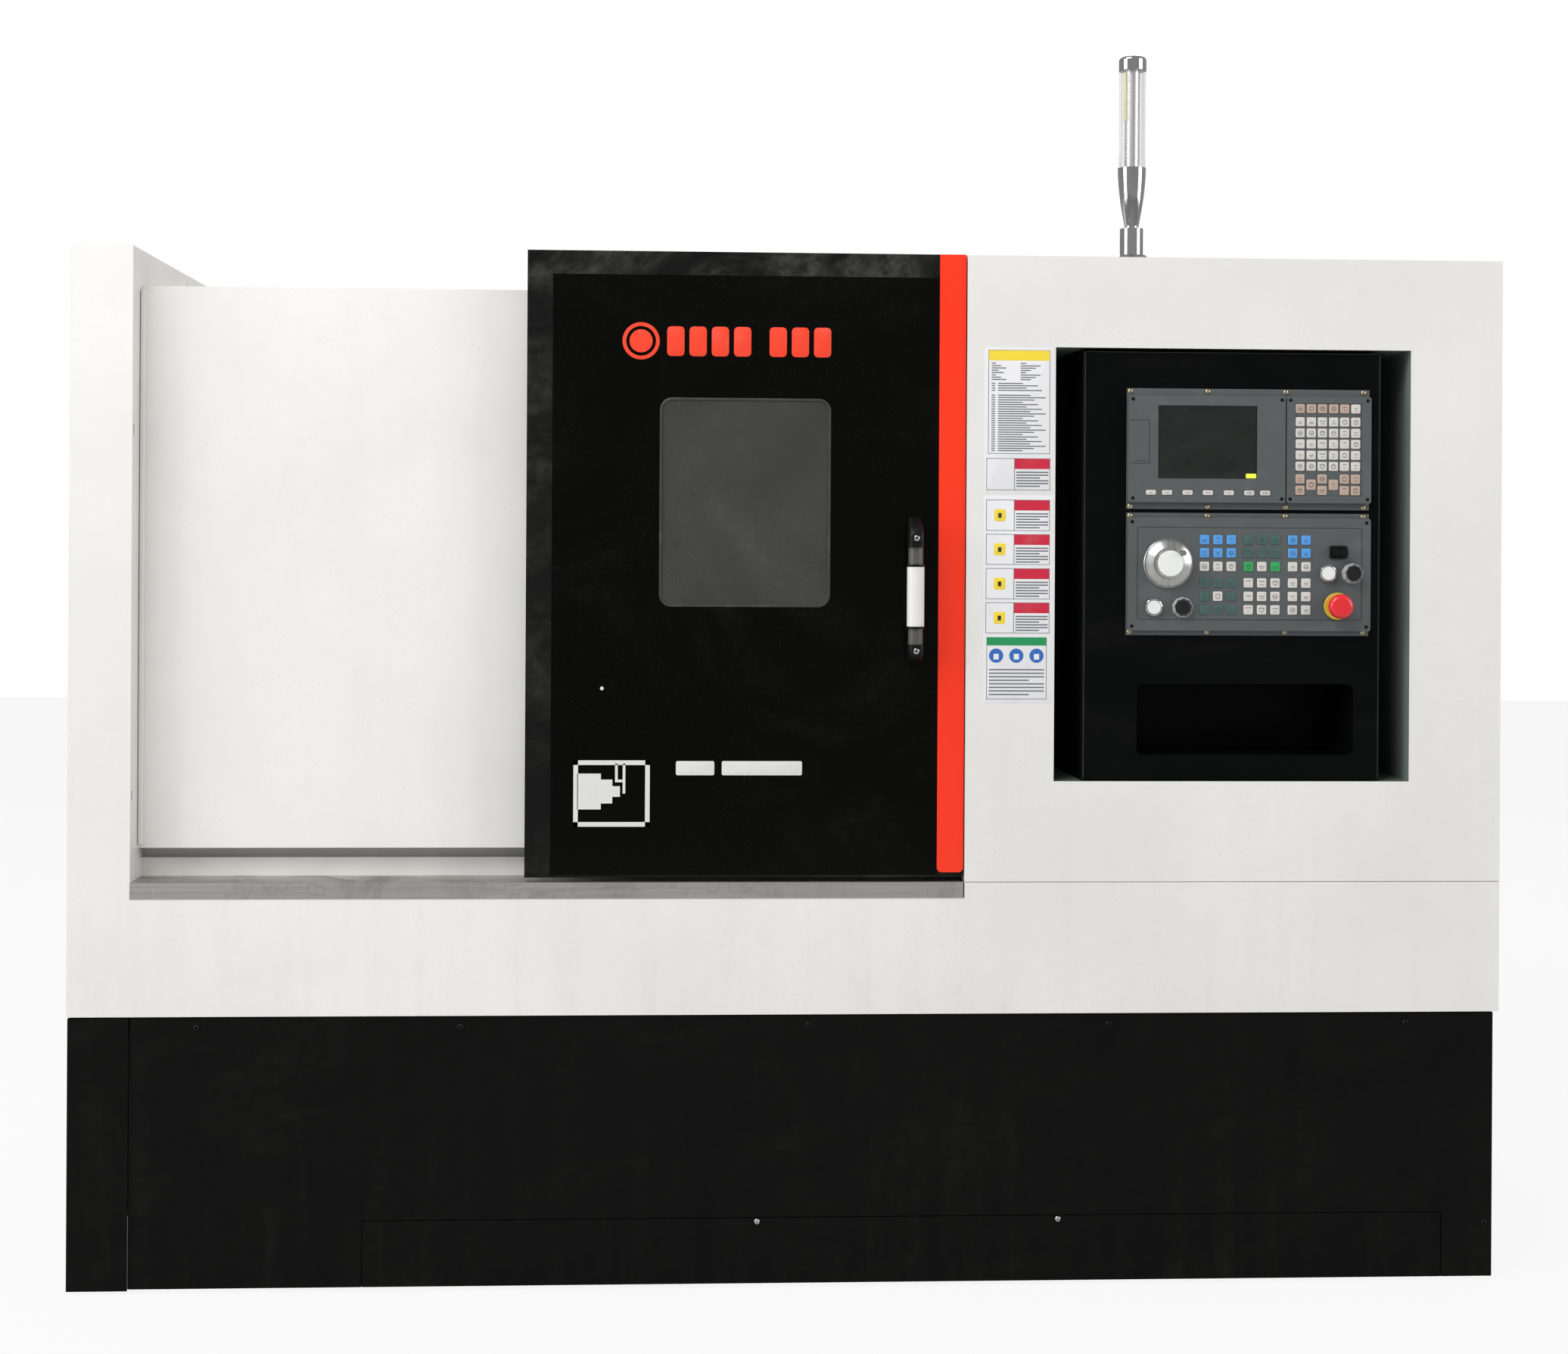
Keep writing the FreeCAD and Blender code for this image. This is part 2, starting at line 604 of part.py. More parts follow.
def make_cabinet_door():
    """Door of the electrical cabinet in the rear wall, set into its opening."""
    x0, x1, z0, z1 = CABINET_DOOR
    gap = CABINET_DOOR_GAP
    inner, outer = rear_wall()
    face = box(x0 + gap, x1 - gap, inner, outer, z0 + gap, z1 - gap)
    rim = less(box(x0 + 30, x1 - 12, inner - 15, inner, z0 + 12, z1 - 12),
               [box(x0 + 33, x1 - 15, inner - 16, inner, z0 + 15, z1 - 15)])
    lock = rod("y", inner - 10, outer + 6, 12.0, (x1 - 40, (z0 + z1) / 2))
    knuckles = []
    bores = []
    for low, high in KNUCKLES:
        middle = (low + high) / 2 + ROLL_GAP
        knuckles.append(rod("z", middle, high, KNUCKLE, hinge_at()))
        knuckles.append(box(x0 + 2, x0 + KNUCKLE, inner + 1, hinge_at()[1] + 1, middle, high))
        bores.append(rod("z", middle - 1, high + 1, HINGE_PIN, hinge_at()))
    return less(join([face, rim, lock] + knuckles), bores)


def make_right_front():
    """White front panel right of the door, with the console's niche welded behind it."""
    left = RIGHT_PANEL_LEFT
    niche_rear = FRONT + NICHE_DEPTH
    face = less(box(left, RIGHT, FRONT, FRONT + SHEET, LEDGE_TOP, CABINET_TOP),
                [box(NICHE_LEFT, NICHE_RIGHT, FRONT - 1, FRONT + SHEET + 1, NICHE_BOTTOM, NICHE_TOP)])
    niche = less(box(NICHE_LEFT - SHEET, NICHE_RIGHT + SHEET, FRONT, niche_rear + SHEET,
                     NICHE_BOTTOM - SHEET, NICHE_TOP + SHEET),
                 [box(NICHE_LEFT, NICHE_RIGHT, FRONT - 1, niche_rear, NICHE_BOTTOM, NICHE_TOP)])
    folds = [
        box(left, left + SHEET, FRONT, FRONT + STRIP_SETBACK - 2, LEDGE_TOP, CABINET_TOP - SHEET),
        box(left, RIGHT - SHEET, FRONT, FRONT + FOLD, LEDGE_TOP, LEDGE_TOP + SHEET),
    ]
    at = console_axis()
    bosses = [
        rod("z", NICHE_BOTTOM - PIVOT_BOSS_HEIGHT, NICHE_BOTTOM - SHEET / 2, PIVOT_BOSS_RADIUS, at),
        rod("z", NICHE_TOP + SHEET / 2, NICHE_TOP + PIVOT_BOSS_HEIGHT, PIVOT_BOSS_RADIUS, at),
    ]
    panel = join([face, niche] + folds + bosses)
    bore = rod("z", NICHE_BOTTOM - 2 * PIVOT_BOSS_HEIGHT, NICHE_TOP + 2 * PIVOT_BOSS_HEIGHT,
               PIVOT_RADIUS + RUNNING_FIT, at)
    return less(panel, [bore])


def make_right_side():
    """Right side panel, from the skirt to the roof, turned in at its foot."""
    front = FRONT + 60
    face = box(RIGHT - SHEET, RIGHT, FRONT + SHEET, REAR, LEDGE_TOP, CABINET_TOP - SHEET)
    foot = box(RIGHT - SHEET, RIGHT, front, REAR, SKIRT_TOP, LEDGE_TOP)
    hem = box(RIGHT - FOLD, RIGHT, front, rear_wall()[0], SKIRT_TOP, SKIRT_TOP + SHEET)
    louvres = [box(RIGHT - SHEET - 1, RIGHT + 1, -120.0, 220.0, 760 + 30 * n, 772 + 30 * n)
               for n in range(8)]
    return join([less(face, louvres), foot, hem])


def make_top_cover():
    """Roof of the right cabinet with its turned-down left edge."""
    left = RIGHT_PANEL_LEFT
    rear = rear_wall()[0]
    roof = box(left, RIGHT, FRONT + SHEET, rear, CABINET_TOP - SHEET, CABINET_TOP)
    edge = box(left, left + SHEET, FRONT + STRIP_SETBACK, rear, GUARD_TOP - 40, CABINET_TOP)
    wire_hole = rod("z", CABINET_TOP - 2 * SHEET, CABINET_TOP + 1, 8.0, (TOWER_X, TOWER_Y))
    return less(join([roof, edge]), [wire_hole])


CHUTE_Z = 520.0


def make_liner():
    """Splash liner of the work area: left, right, back, front-right walls and chip chute."""
    x0 = HEADSTOCK[1] + 8.0
    x1 = 985.0
    front = GUARD_FRONT + SHEET
    sill = GUIDE_REAR + 2
    sill_z = STRIP_TOP + 13
    shelf = GUARD_BOTTOM + 8
    right_front = FRONT + NICHE_DEPTH + 10
    back = slant_point(BED_HIGH, -BED_DROP)[0] + 143.0
    roof = GUARD_TOP - GUTTER_DEPTH - SHEET
    toe = slant_point(BED_LOW, -BED_DROP)[0] - 1.0
    chute = prism_x([(sill, sill_z), (sill + 170, CHUTE_Z), (toe, CHUTE_Z), (toe, CHUTE_Z - SHEET),
                     (sill + 168.6, CHUTE_Z - SHEET), (sill, sill_z - 1.45 * SHEET)], x0, x1)
    jamb_x = RIGHT_PANEL_LEFT + 8
    walls = [
        chute,
        box(x0, x0 + SHEET, front, back, shelf, roof),
        box(x0, x0 + SHEET, sill, back, CHUTE_Z - SHEET, shelf),
        box(x1 - SHEET, x1, right_front, back, CHUTE_Z - SHEET, roof),
        box(x1 - SHEET, x1, sill, right_front, CHUTE_Z - SHEET, sill_z),
        box(x0, x1, back - SHEET, back, slant_point(BED_HIGH, -BED_DROP)[1], roof),
        box(jamb_x, x1, right_front, right_front + SHEET, CHUTE_Z, roof),
        box(jamb_x, jamb_x + SHEET, front, right_front + SHEET, shelf, roof),
        box(jamb_x, jamb_x + SHEET, sill, right_front + SHEET, CHUTE_Z, shelf),
    ]
    bed = prism_x(grown_bed(1.0), BED_LEFT, BED_RIGHT)
    rails = [slanted(box(RAIL_LEFT, RAIL_RIGHT, along - RAIL_WIDTH / 2 - 4, along + RAIL_WIDTH / 2 + 4,
                         -BED_DROP - 1, -BED_DROP + RAIL_RISE + 4)) for along in RAILS_ALONG]
    screw = slanted(box(-470, RIGHT, SCREW_ALONG - 44, SCREW_ALONG + 44, -BED_DROP - 1, SCREW_DROP + 64))
    nose = rod("x", x0 - 1, x0 + SHEET + 1, NOSE_RADIUS + 8, (AXIS_Y, AXIS_Z))
    return less(join(walls), [bed, screw, nose] + rails)


def grown_bed(clearance):
    """The bed's section with a small clearance all round, down through the base."""
    low_y, low_z = slant_point(BED_LOW, -BED_DROP)
    high_y, high_z = slant_point(BED_HIGH, -BED_DROP)
    crest = high_y + 147.0
    rise = clearance * math.sqrt(2)
    return [
        (low_y - clearance, BASE_TOP),
        (low_y - clearance, low_z + rise),
        (high_y - rise + clearance, high_z),
        (crest + 200, high_z),
        (crest + 200, BASE_TOP),
    ]


# --- Door -----------------------------------------------------------------------------------
def roller_places():
    """X of the two door rollers."""
    return (DOOR_LEFT + ROLLER_INSET, DOOR_RIGHT - ROLLER_INSET)


def roller_z():
    """Height of the rollers' axes, with the tread just over the rail."""
    return rail_top() + ROLLER_RADIUS + ROLL_GAP


def make_door_frame():
    """Folded door tray with its window hole, hangers and lower guide block."""
    strip_left = DOOR_RIGHT - EDGE_STRIP_WIDTH
    right = DOOR_RIGHT - SHEET
    web = DOOR_FRONT + FASCIA_THICKNESS
    tray = less(box(DOOR_LEFT, right, DOOR_FRONT, DOOR_BACK, DOOR_BOTTOM, DOOR_TOP),
                [box(DOOR_LEFT + SHEET, right - SHEET, web + SHEET, DOOR_BACK + 1,
                     DOOR_BOTTOM + SHEET, DOOR_TOP - SHEET)])
    recess = box(DOOR_LEFT + DOOR_BAND_LEFT, strip_left, DOOR_FRONT - 1, web,
                 DOOR_BOTTOM + DOOR_BAND_BOTTOM, DOOR_TOP - DOOR_BAND_TOP)
    strip_room = box(strip_left, DOOR_RIGHT, DOOR_FRONT - 1, DOOR_FRONT + 1, DOOR_BOTTOM - 1, DOOR_TOP + 1)
    x0 = DOOR_LEFT + WINDOW_LEFT
    rest = WINDOW_REST
    hole = rounded_plate(x0 + rest, x0 + WINDOW_WIDTH - rest, WINDOW_BOTTOM + rest,
                         WINDOW_BOTTOM + WINDOW_HEIGHT - rest, web - 1, web + SHEET + 1,
                         WINDOW_RADIUS - 8)
    hangers = []
    pin_z = roller_z()
    behind = rail_y() + ROLLER_WIDTH / 2 + 4
    for x in roller_places():
        hangers.append(box(x - 30, x + 30, DOOR_BACK - SHEET, behind + 4, 1640, 1644))
        hangers.append(box(x - 30, x + 30, behind, behind + 4, pin_z - 14, 1644))
        hangers.append(box(x - 30, x + 30, DOOR_BACK - SHEET, DOOR_BACK, 1600, 1644))
        hangers.append(box(x - 34, x - 30, DOOR_BACK - SHEET, behind + 4, 1634, 1644))
        hangers.append(rod("y", rail_y() - ROLLER_WIDTH / 2 - 4, behind, ROLLER_PIN_RADIUS, (x, pin_z)))
        hangers.append(rod("y", rail_y() + ROLLER_WIDTH / 2 + ROLL_GAP, behind, 9.0, (x, pin_z)))
        hangers.append(box(x - 30, x + 30, DOOR_FRONT + FASCIA_THICKNESS, DOOR_BACK - SHEET, 1640, 1644))
    channel = FRONT + STRIP_SETBACK + SHEET
    block_y = channel + (GUIDE_WIDTH - GUIDE_BLOCK_WIDTH) / 2
    low = STRIP_TOP + 6
    for x in roller_places():
        hangers.append(box(x - 20, x + 20, DOOR_FRONT + FASCIA_THICKNESS, block_y + GUIDE_BLOCK_WIDTH, low, low + 4))
        hangers.append(box(x - 20, x + 20, block_y, block_y + GUIDE_BLOCK_WIDTH, LEDGE_TOP + SHEET + 2, low + 4))
    return join([less(tray, [recess, strip_room, hole])] + hangers)


def make_fascia():
    """Glossy black fascia in the door's recess."""
    x0 = DOOR_LEFT + DOOR_BAND_LEFT
    plate = box(x0, DOOR_RIGHT - EDGE_STRIP_WIDTH, DOOR_FRONT, DOOR_FRONT + FASCIA_THICKNESS,
                DOOR_BOTTOM + DOOR_BAND_BOTTOM, DOOR_TOP - DOOR_BAND_TOP)
    pane_x = DOOR_LEFT + WINDOW_LEFT
    hole = rounded_plate(pane_x, pane_x + WINDOW_WIDTH, WINDOW_BOTTOM, WINDOW_BOTTOM + WINDOW_HEIGHT,
                         DOOR_FRONT - 1, DOOR_FRONT + FASCIA_THICKNESS + 1, WINDOW_RADIUS)
    return less(plate, [hole])


def make_window():
    """Laminated pane in the fascia's hole, seated on the frame's web."""
    gap = 0.4
    x0 = DOOR_LEFT + WINDOW_LEFT + gap
    x1 = x0 + WINDOW_WIDTH - 2 * gap
    return rounded_plate(x0, x1, WINDOW_BOTTOM + gap, WINDOW_BOTTOM + WINDOW_HEIGHT - gap,
                         DOOR_FRONT + 1, DOOR_FRONT + FASCIA_THICKNESS, WINDOW_RADIUS - gap)


def make_edge_strip():
    """Orange strip on the door's closing edge, wrapped round its side."""
    x0 = DOOR_RIGHT - EDGE_STRIP_WIDTH
    face = box(x0, DOOR_RIGHT, DOOR_FRONT - 2, DOOR_FRONT + 1, DOOR_BOTTOM + 8, DOOR_TOP)
    low = [edge for edge in face.Edges
           if abs(edge.Vertexes[0].Z - DOOR_BOTTOM - 8) < 0.01
           and abs(edge.Vertexes[1].Z - DOOR_BOTTOM - 8) < 0.01
           and abs(edge.Vertexes[0].Y - edge.Vertexes[1].Y) > 1]
    face = face.makeFillet(8.0, low)
    side = box(DOOR_RIGHT - SHEET, DOOR_RIGHT, DOOR_FRONT, DOOR_BACK - 2, DOOR_BOTTOM + 20, DOOR_TOP)
    return join([face, side])


def make_handle_feet():
    """The handle's two black brackets, screwed to the door."""
    x0 = HANDLE_X - HANDLE_FOOT_WIDTH / 2
    x1 = HANDLE_X + HANDLE_FOOT_WIDTH / 2
    out = FRONT - HANDLE_STANDOFF
    wall = DOOR_FRONT
    mid = out + 2 * HANDLE_BAR_RADIUS + 6
    feet = []
    for inner, outer in ((HANDLE_BAR_TOP, HANDLE_TOP), (HANDLE_BAR_BOTTOM, HANDLE_BOTTOM)):
        near = inner + (outer - inner) * 0.35
        outline = [(out, inner), (out, near), (mid - 8, outer), (wall, outer), (wall, inner)]
        if outer < inner:
            outline.reverse()
        feet.append(prism_x(outline, x0, x1))
    return Part.makeCompound(feet)


def make_handle_bar():
    """Handle bar with its thicker sleeve, between the two brackets."""
    at = (HANDLE_X, FRONT - HANDLE_STANDOFF + HANDLE_SLEEVE_RADIUS + 1)
    bar = rod("z", HANDLE_BAR_BOTTOM, HANDLE_BAR_TOP, HANDLE_BAR_RADIUS, at)
    sleeve = rod("z", HANDLE_SLEEVE_BOTTOM, HANDLE_SLEEVE_TOP, HANDLE_SLEEVE_RADIUS, at)
    return join([bar, sleeve])


def make_roller(x):
    """Plain roller that hangs the door on its rail; the lower guide keeps the door in line."""
    at = (x, roller_z())
    half = ROLLER_WIDTH / 2
    body = rod("y", rail_y() - half, rail_y() + half, ROLLER_RADIUS, at)
    bore = rod("y", rail_y() - half - 1, rail_y() + half + 1, ROLLER_PIN_RADIUS + RUNNING_FIT, at)
    return less(body, [bore])


# --- Headstock and drive ----------------------------------------------------------------------
def make_headstock():
    """Headstock casting on the slanted bed, bored for the spindle bearings."""
    x0, x1 = HEADSTOCK
    half = HEADSTOCK_HALF
    block = box(x0, x1, -half, half, -BED_DROP, half - 30)
    upper = [edge for edge in block.Edges
             if abs(edge.Vertexes[0].X - edge.Vertexes[1].X) > 10 and edge.Vertexes[0].Z > 0]
    block = block.makeFillet(40.0, upper)
    bore = rod("x", x0 - 1, x1 + 1, BEARING_OUTER, (0, 0))
    return slanted(less(block, [bore]))


def make_bearings():
    """Front and rear spindle bearings, each shown as one sealed ring."""
    rings = []
    for start in (HEADSTOCK[0] + 5, HEADSTOCK[1] - 5 - BEARING_LENGTH):
        ring = rod("x", start, start + BEARING_LENGTH, BEARING_OUTER - 0.02, (AXIS_Y, AXIS_Z))
        bore = rod("x", start - 1, start + BEARING_LENGTH + 1, SPINDLE_RADIUS + RUNNING_FIT, (AXIS_Y, AXIS_Z))
        rings.append(less(ring, [bore]))
    return Part.makeCompound(rings)


def make_spindle():
    """Hollow spindle with its nose flange."""
    axis = (AXIS_Y, AXIS_Z)
    body = rod("x", HEADSTOCK[0] - 4, NOSE[0], SPINDLE_RADIUS, axis)
    nose = rod("x", NOSE[0], NOSE[1], NOSE_RADIUS, axis)
    tail = rod("x", SPINDLE_TAIL, HEADSTOCK[0], SPINDLE_TAIL_RADIUS, axis)
    bore = rod("x", SPINDLE_TAIL - 1, NOSE[1] + 1, SPINDLE_BORE, axis)
    return less(join([body, nose, tail]), [bore])


def pulley(radius, bore, axis):
    """Flanged belt pulley."""
    x0, x1 = PULLEY
    rim = rod("x", x0, x1, radius, axis)
    flanges = [rod("x", x0, x0 + 4, radius + PULLEY_FLANGE, axis),
               rod("x", x1 - 4, x1, radius + PULLEY_FLANGE, axis)]
    wheel = join([rim] + flanges)
    if bore:
        wheel = less(wheel, [rod("x", x0 - 1, x1 + 1, bore, axis)])
    return wheel


def motor_axis():
    """(y, z) of the spindle motor's shaft."""
    high_y, high_z = slant_point(BED_HIGH, -BED_DROP)
    return high_y + 73.0, high_z + MOTOR_RISE


def make_motor():
    """Spindle motor on its foot, on the bed's flat top."""
    x0, x1 = MOTOR
    y, z = motor_axis()
    body = rod("x", x0, x1, MOTOR_RADIUS, (y, z))
    fins = [rod("x", x0 + 60 + 30 * n, x0 + 66 + 30 * n, MOTOR_RADIUS + 8, (y, z)) for n in range(9)]
    foot_top = z - MOTOR_RADIUS + 25
    high_z = slant_point(BED_HIGH, -BED_DROP)[1]
    foot = box(x0 + 30, x1 - 40, y - 65, y + 65, high_z, foot_top)
    terminal = box(x0 + 110, x0 + 250, y - 60, y + 60, z + MOTOR_RADIUS - 15, z + MOTOR_RADIUS + 50)
    bore = rod("x", x0 - 1, x0 + 60, MOTOR_SHAFT + RUNNING_FIT, (y, z))
    return less(join([body, foot, terminal] + fins), [bore])


def make_motor_pulley():
    """Motor pulley on the end of the rotor shaft."""
    axis = motor_axis()
    shaft = rod("x", PULLEY[1] - 10, MOTOR[0] + 55, MOTOR_SHAFT, axis)
    return join([pulley(MOTOR_PULLEY_RADIUS, None, axis), shaft])


def belt_loop(extra, x0, x1):
    """Solid band outline round both pulleys, extra larger than their rims."""
    y1, z1 = motor_axis()
    r0 = PULLEY_RADIUS + extra
    r1 = MOTOR_PULLEY_RADIUS + extra
    run = math.hypot(y1 - AXIS_Y, z1 - AXIS_Z)
    lean = math.asin((r0 - r1) / run)
    heading = math.atan2(z1 - AXIS_Z, y1 - AXIS_Y)
    corners = []
    for side in (1, -1):
        angle = heading + side * (math.pi / 2 - lean)
        near = (AXIS_Y + r0 * math.cos(angle), AXIS_Z + r0 * math.sin(angle))
        far = (y1 + r1 * math.cos(angle), z1 + r1 * math.sin(angle))
        corners += [near, far] if side == 1 else [far, near]
    web = prism_x(corners, x0, x1)
    return join([web, rod("x", x0, x1, r0, (AXIS_Y, AXIS_Z)), rod("x", x0, x1, r1, (y1, z1))])


def make_belt():
    """Ribbed drive belt in the pulleys, between their flanges."""
    x0 = PULLEY[0] + 5
    x1 = PULLEY[1] - 5
    return less(belt_loop(BELT_THICKNESS, x0, x1), [belt_loop(ROLL_GAP, x0 - 1, x1 + 1)])


def make_chuck():
    """Three-jaw chuck body with its radial slots."""
    x0, x1 = CHUCK
    axis = (AXIS_Y, AXIS_Z)
    body = rod("x", x0, x1, CHUCK_RADIUS, axis)
    rim = [edge for edge in body.Edges if edge.Closed and abs(edge.Vertexes[0].X - x1) < 0.01]
    body = body.makeChamfer(3.0, rim)
    bore = rod("x", x0 - 1, x1 + 1, SPINDLE_BORE + 4, axis)
    half = JAW_WIDTH / 2 + JAW_GAP
    slot = box(x1 - JAW_SLOT_DEPTH - JAW_GAP, x1 + 1, AXIS_Y - half, AXIS_Y + half, AXIS_Z, AXIS_Z + CHUCK_RADIUS + 5)
    slots = [about_axis(slot, 360.0 / JAWS * n) for n in range(JAWS)]
    return less(body, [bore] + slots)


def make_jaw(number):
    """One jaw: base in its slot and stepped hard top."""
    x1 = CHUCK[1]
    half = JAW_WIDTH / 2
    base = box(x1 - JAW_SLOT_DEPTH, x1, AXIS_Y - half, AXIS_Y + half, AXIS_Z + 40, AXIS_Z + 98)
    low = box(x1, x1 + 20, AXIS_Y - half, AXIS_Y + half, AXIS_Z + 32, AXIS_Z + 98)
    step = box(x1, x1 + 42, AXIS_Y - half, AXIS_Y + half, AXIS_Z + 55, AXIS_Z + 90)
    hole = rod("x", x1 + 20, x1 + 43, 7.0, (AXIS_Y, AXIS_Z + 72))
    return about_axis(less(join([base, low, step]), [hole]), 360.0 / JAWS * number)


# --- Slides, turret, tailstock ------------------------------------------------------------------
def make_z_rails():
    """Two identical linear rails on the bed's slanted face."""
    rails = []
    for along in RAILS_ALONG:
        bar = box(RAIL_LEFT, RAIL_RIGHT, along - RAIL_WIDTH / 2, along + RAIL_WIDTH / 2,
                  -BED_DROP, -BED_DROP + RAIL_RISE)
        rails.append(slanted(bar))
    return Part.makeCompound(rails)


def make_z_screw():
    """Ball screw of the carriage, from its left support into the motor coupling."""
    x0 = SCREW_SUPPORTS[0][0]
    x1 = SCREW_SUPPORTS[1][1]
    return slanted(rod("x", x0, x1 + 22, SCREW_RADIUS, (SCREW_ALONG, SCREW_DROP)))


def make_z_motor():
    """Servo motor of the carriage screw, flanged to the right support."""
    x0 = SCREW_SUPPORTS[1][1]
    flange = box(x0, x0 + 14, SCREW_ALONG - 38, SCREW_ALONG + 38, SCREW_DROP - 17, SCREW_DROP + 59)
    body = box(x0 + 14, x0 + 150, SCREW_ALONG - 34, SCREW_ALONG + 34, SCREW_DROP - 13, SCREW_DROP + 55)
    cap = box(x0 + 150, x0 + 190, SCREW_ALONG - 30, SCREW_ALONG + 30, SCREW_DROP - 9, SCREW_DROP + 51)
    bore = rod("x", x0 - 1, x0 + 24, SCREW_RADIUS + RUNNING_FIT, (SCREW_ALONG, SCREW_DROP))
    return slanted(less(join([flange, body, cap]), [bore]))


def truck(x0, x1, along):
    """Bearing truck that straddles a rail."""
    outer = box(x0, x1, along - 45, along + 45, -BED_DROP + 8, SADDLE_BOTTOM)
    channel = box(x0 - 1, x1 + 1, along - RAIL_WIDTH / 2 - ROLL_GAP, along + RAIL_WIDTH / 2 + ROLL_GAP,
                  -BED_DROP, -BED_DROP + RAIL_RISE + ROLL_GAP)
    return less(outer, [channel])


def make_saddle():
    """Z carriage on four trucks, carrying the slanted cross ways and the screw nut."""
    x0, x1 = SADDLE
    plate = box(x0, x1, SADDLE_ALONG[0], SADDLE_ALONG[1], SADDLE_BOTTOM, SADDLE_TOP)
    ways = [box(x0 + at - WAY_WIDTH / 2, x0 + at + WAY_WIDTH / 2, SADDLE_ALONG[0], SADDLE_ALONG[1],
                SADDLE_TOP, SADDLE_TOP + WAY_RISE) for at in WAY_AT]
    trucks = [truck(start, start + 80, along) for start in (x0, x1 - 80) for along in RAILS_ALONG]
    nut = box(x0 + 90, x0 + 150, SCREW_ALONG - 32, SCREW_ALONG + 32, -BED_DROP + 2, SADDLE_BOTTOM)
    body = join([plate, nut] + ways + trucks)
    bore = rod("x", x0 + 89, x0 + 151, SCREW_RADIUS + RUNNING_FIT, (SCREW_ALONG, SCREW_DROP))
    return slanted(less(body, [bore]))


def make_x_motor():
    """Servo motor of the cross slide, on the saddle's upper end."""
    x = (SADDLE[0] + SADDLE[1]) / 2
    end = SADDLE_ALONG[1]
    flange = box(x - 45, x + 45, end, end + 12, SADDLE_BOTTOM, SADDLE_TOP + 60)
    body = box(x - 40, x + 40, end + 12, end + 100, SADDLE_BOTTOM + 15, SADDLE_TOP + 55)
    return slanted(join([flange, body]))


def make_cross_slide():
    """Cross slide that straddles the saddle's two ways."""
    x0, x1 = SADDLE
    lower = SADDLE_TOP + 5
    block = box(x0 + 8, x1 - 8, CROSS_CENTRE - CROSS_HALF, CROSS_CENTRE + CROSS_HALF, lower, CROSS_TOP)
    channels = [box(x0 + at - WAY_WIDTH / 2 - ROLL_GAP, x0 + at + WAY_WIDTH / 2 + ROLL_GAP,
                    CROSS_CENTRE - CROSS_HALF - 1, CROSS_CENTRE + CROSS_HALF + 1,
                    lower - 1, SADDLE_TOP + WAY_RISE + ROLL_GAP) for at in WAY_AT]
    return slanted(less(block, channels))


def make_turret():
    """Turret housing on the cross slide."""
    x0 = DISC[1] + ROLL_GAP
    x1 = SADDLE[1] - 15
    half = TURRET_HALF
    case = box(SADDLE[0] + 10, x1, CROSS_CENTRE - half, CROSS_CENTRE + half, CROSS_TOP, half)
    long_edges = [edge for edge in case.Edges
                  if abs(edge.Vertexes[0].X - edge.Vertexes[1].X) > 10 and edge.Vertexes[0].Z > 0]
    case = case.makeFillet(30.0, long_edges)
    neck = rod("x", x0, SADDLE[0] + 12, 72.0, (CROSS_CENTRE, 0))
    motor = rod("x", x1, x1 + 45, 50.0, (CROSS_CENTRE, 0))
    pin_bore = rod("x", x0 - 1, x0 + 41, 25.0 + RUNNING_FIT, (CROSS_CENTRE, 0))
    return slanted(less(join([case, neck, motor]), [pin_bore]))


def make_disc():
    """Eight-station turret disc with square tool slots and its spigot."""
    x0, x1 = DISC
    face = 2 * DISC_RADIUS * math.tan(math.pi / STATIONS)
    body = rod("x", x0, x1, DISC_RADIUS / math.cos(math.pi / STATIONS), (CROSS_CENTRE, 0))
    for n in range(STATIONS):
        flat = box(x0 - 1, x1 + 1, CROSS_CENTRE - 2 * DISC_RADIUS, CROSS_CENTRE - DISC_RADIUS, -face, face)
        flat.rotate(vec(0, CROSS_CENTRE, 0), X_AXIS, 360.0 / STATIONS * n)
        body = body.cut(flat)
    for n in range(STATIONS):
        slot = box(x0 - 1, x0 + 25.4, CROSS_CENTRE - DISC_RADIUS - 1, CROSS_CENTRE - DISC_RADIUS + 60, -12.7, 12.7)
        slot.rotate(vec(0, CROSS_CENTRE, 0), X_AXIS, 360.0 / STATIONS * n)
        body = body.cut(slot)
    hub = rod("x", x0 - 12, x0, 48.0, (CROSS_CENTRE, 0))
    spigot = rod("x", x1, x1 + 38, 25.0, (CROSS_CENTRE, 0))
    return slanted(join([body, hub, spigot]))


def make_tools():
    """Eight identical turning tools, clamped in the disc's slots."""
    x0 = DISC[0]
    edge = CROSS_CENTRE - DISC_RADIUS
    shank = box(x0, x0 + 25, edge - TOOL_REACH + 8, edge + 58, -12.4, 12.4)
    tip = box(x0 - 7, x0 + 14, edge - TOOL_REACH, edge - TOOL_REACH + 20, -12.4, 0)
    tool = join([shank, tip])
    tools = []
    for n in range(STATIONS):
        turned = tool.copy()
        turned.rotate(vec(0, CROSS_CENTRE, 0), X_AXIS, 360.0 / STATIONS * n)
        tools.append(slanted(turned))
    return Part.makeCompound(tools)


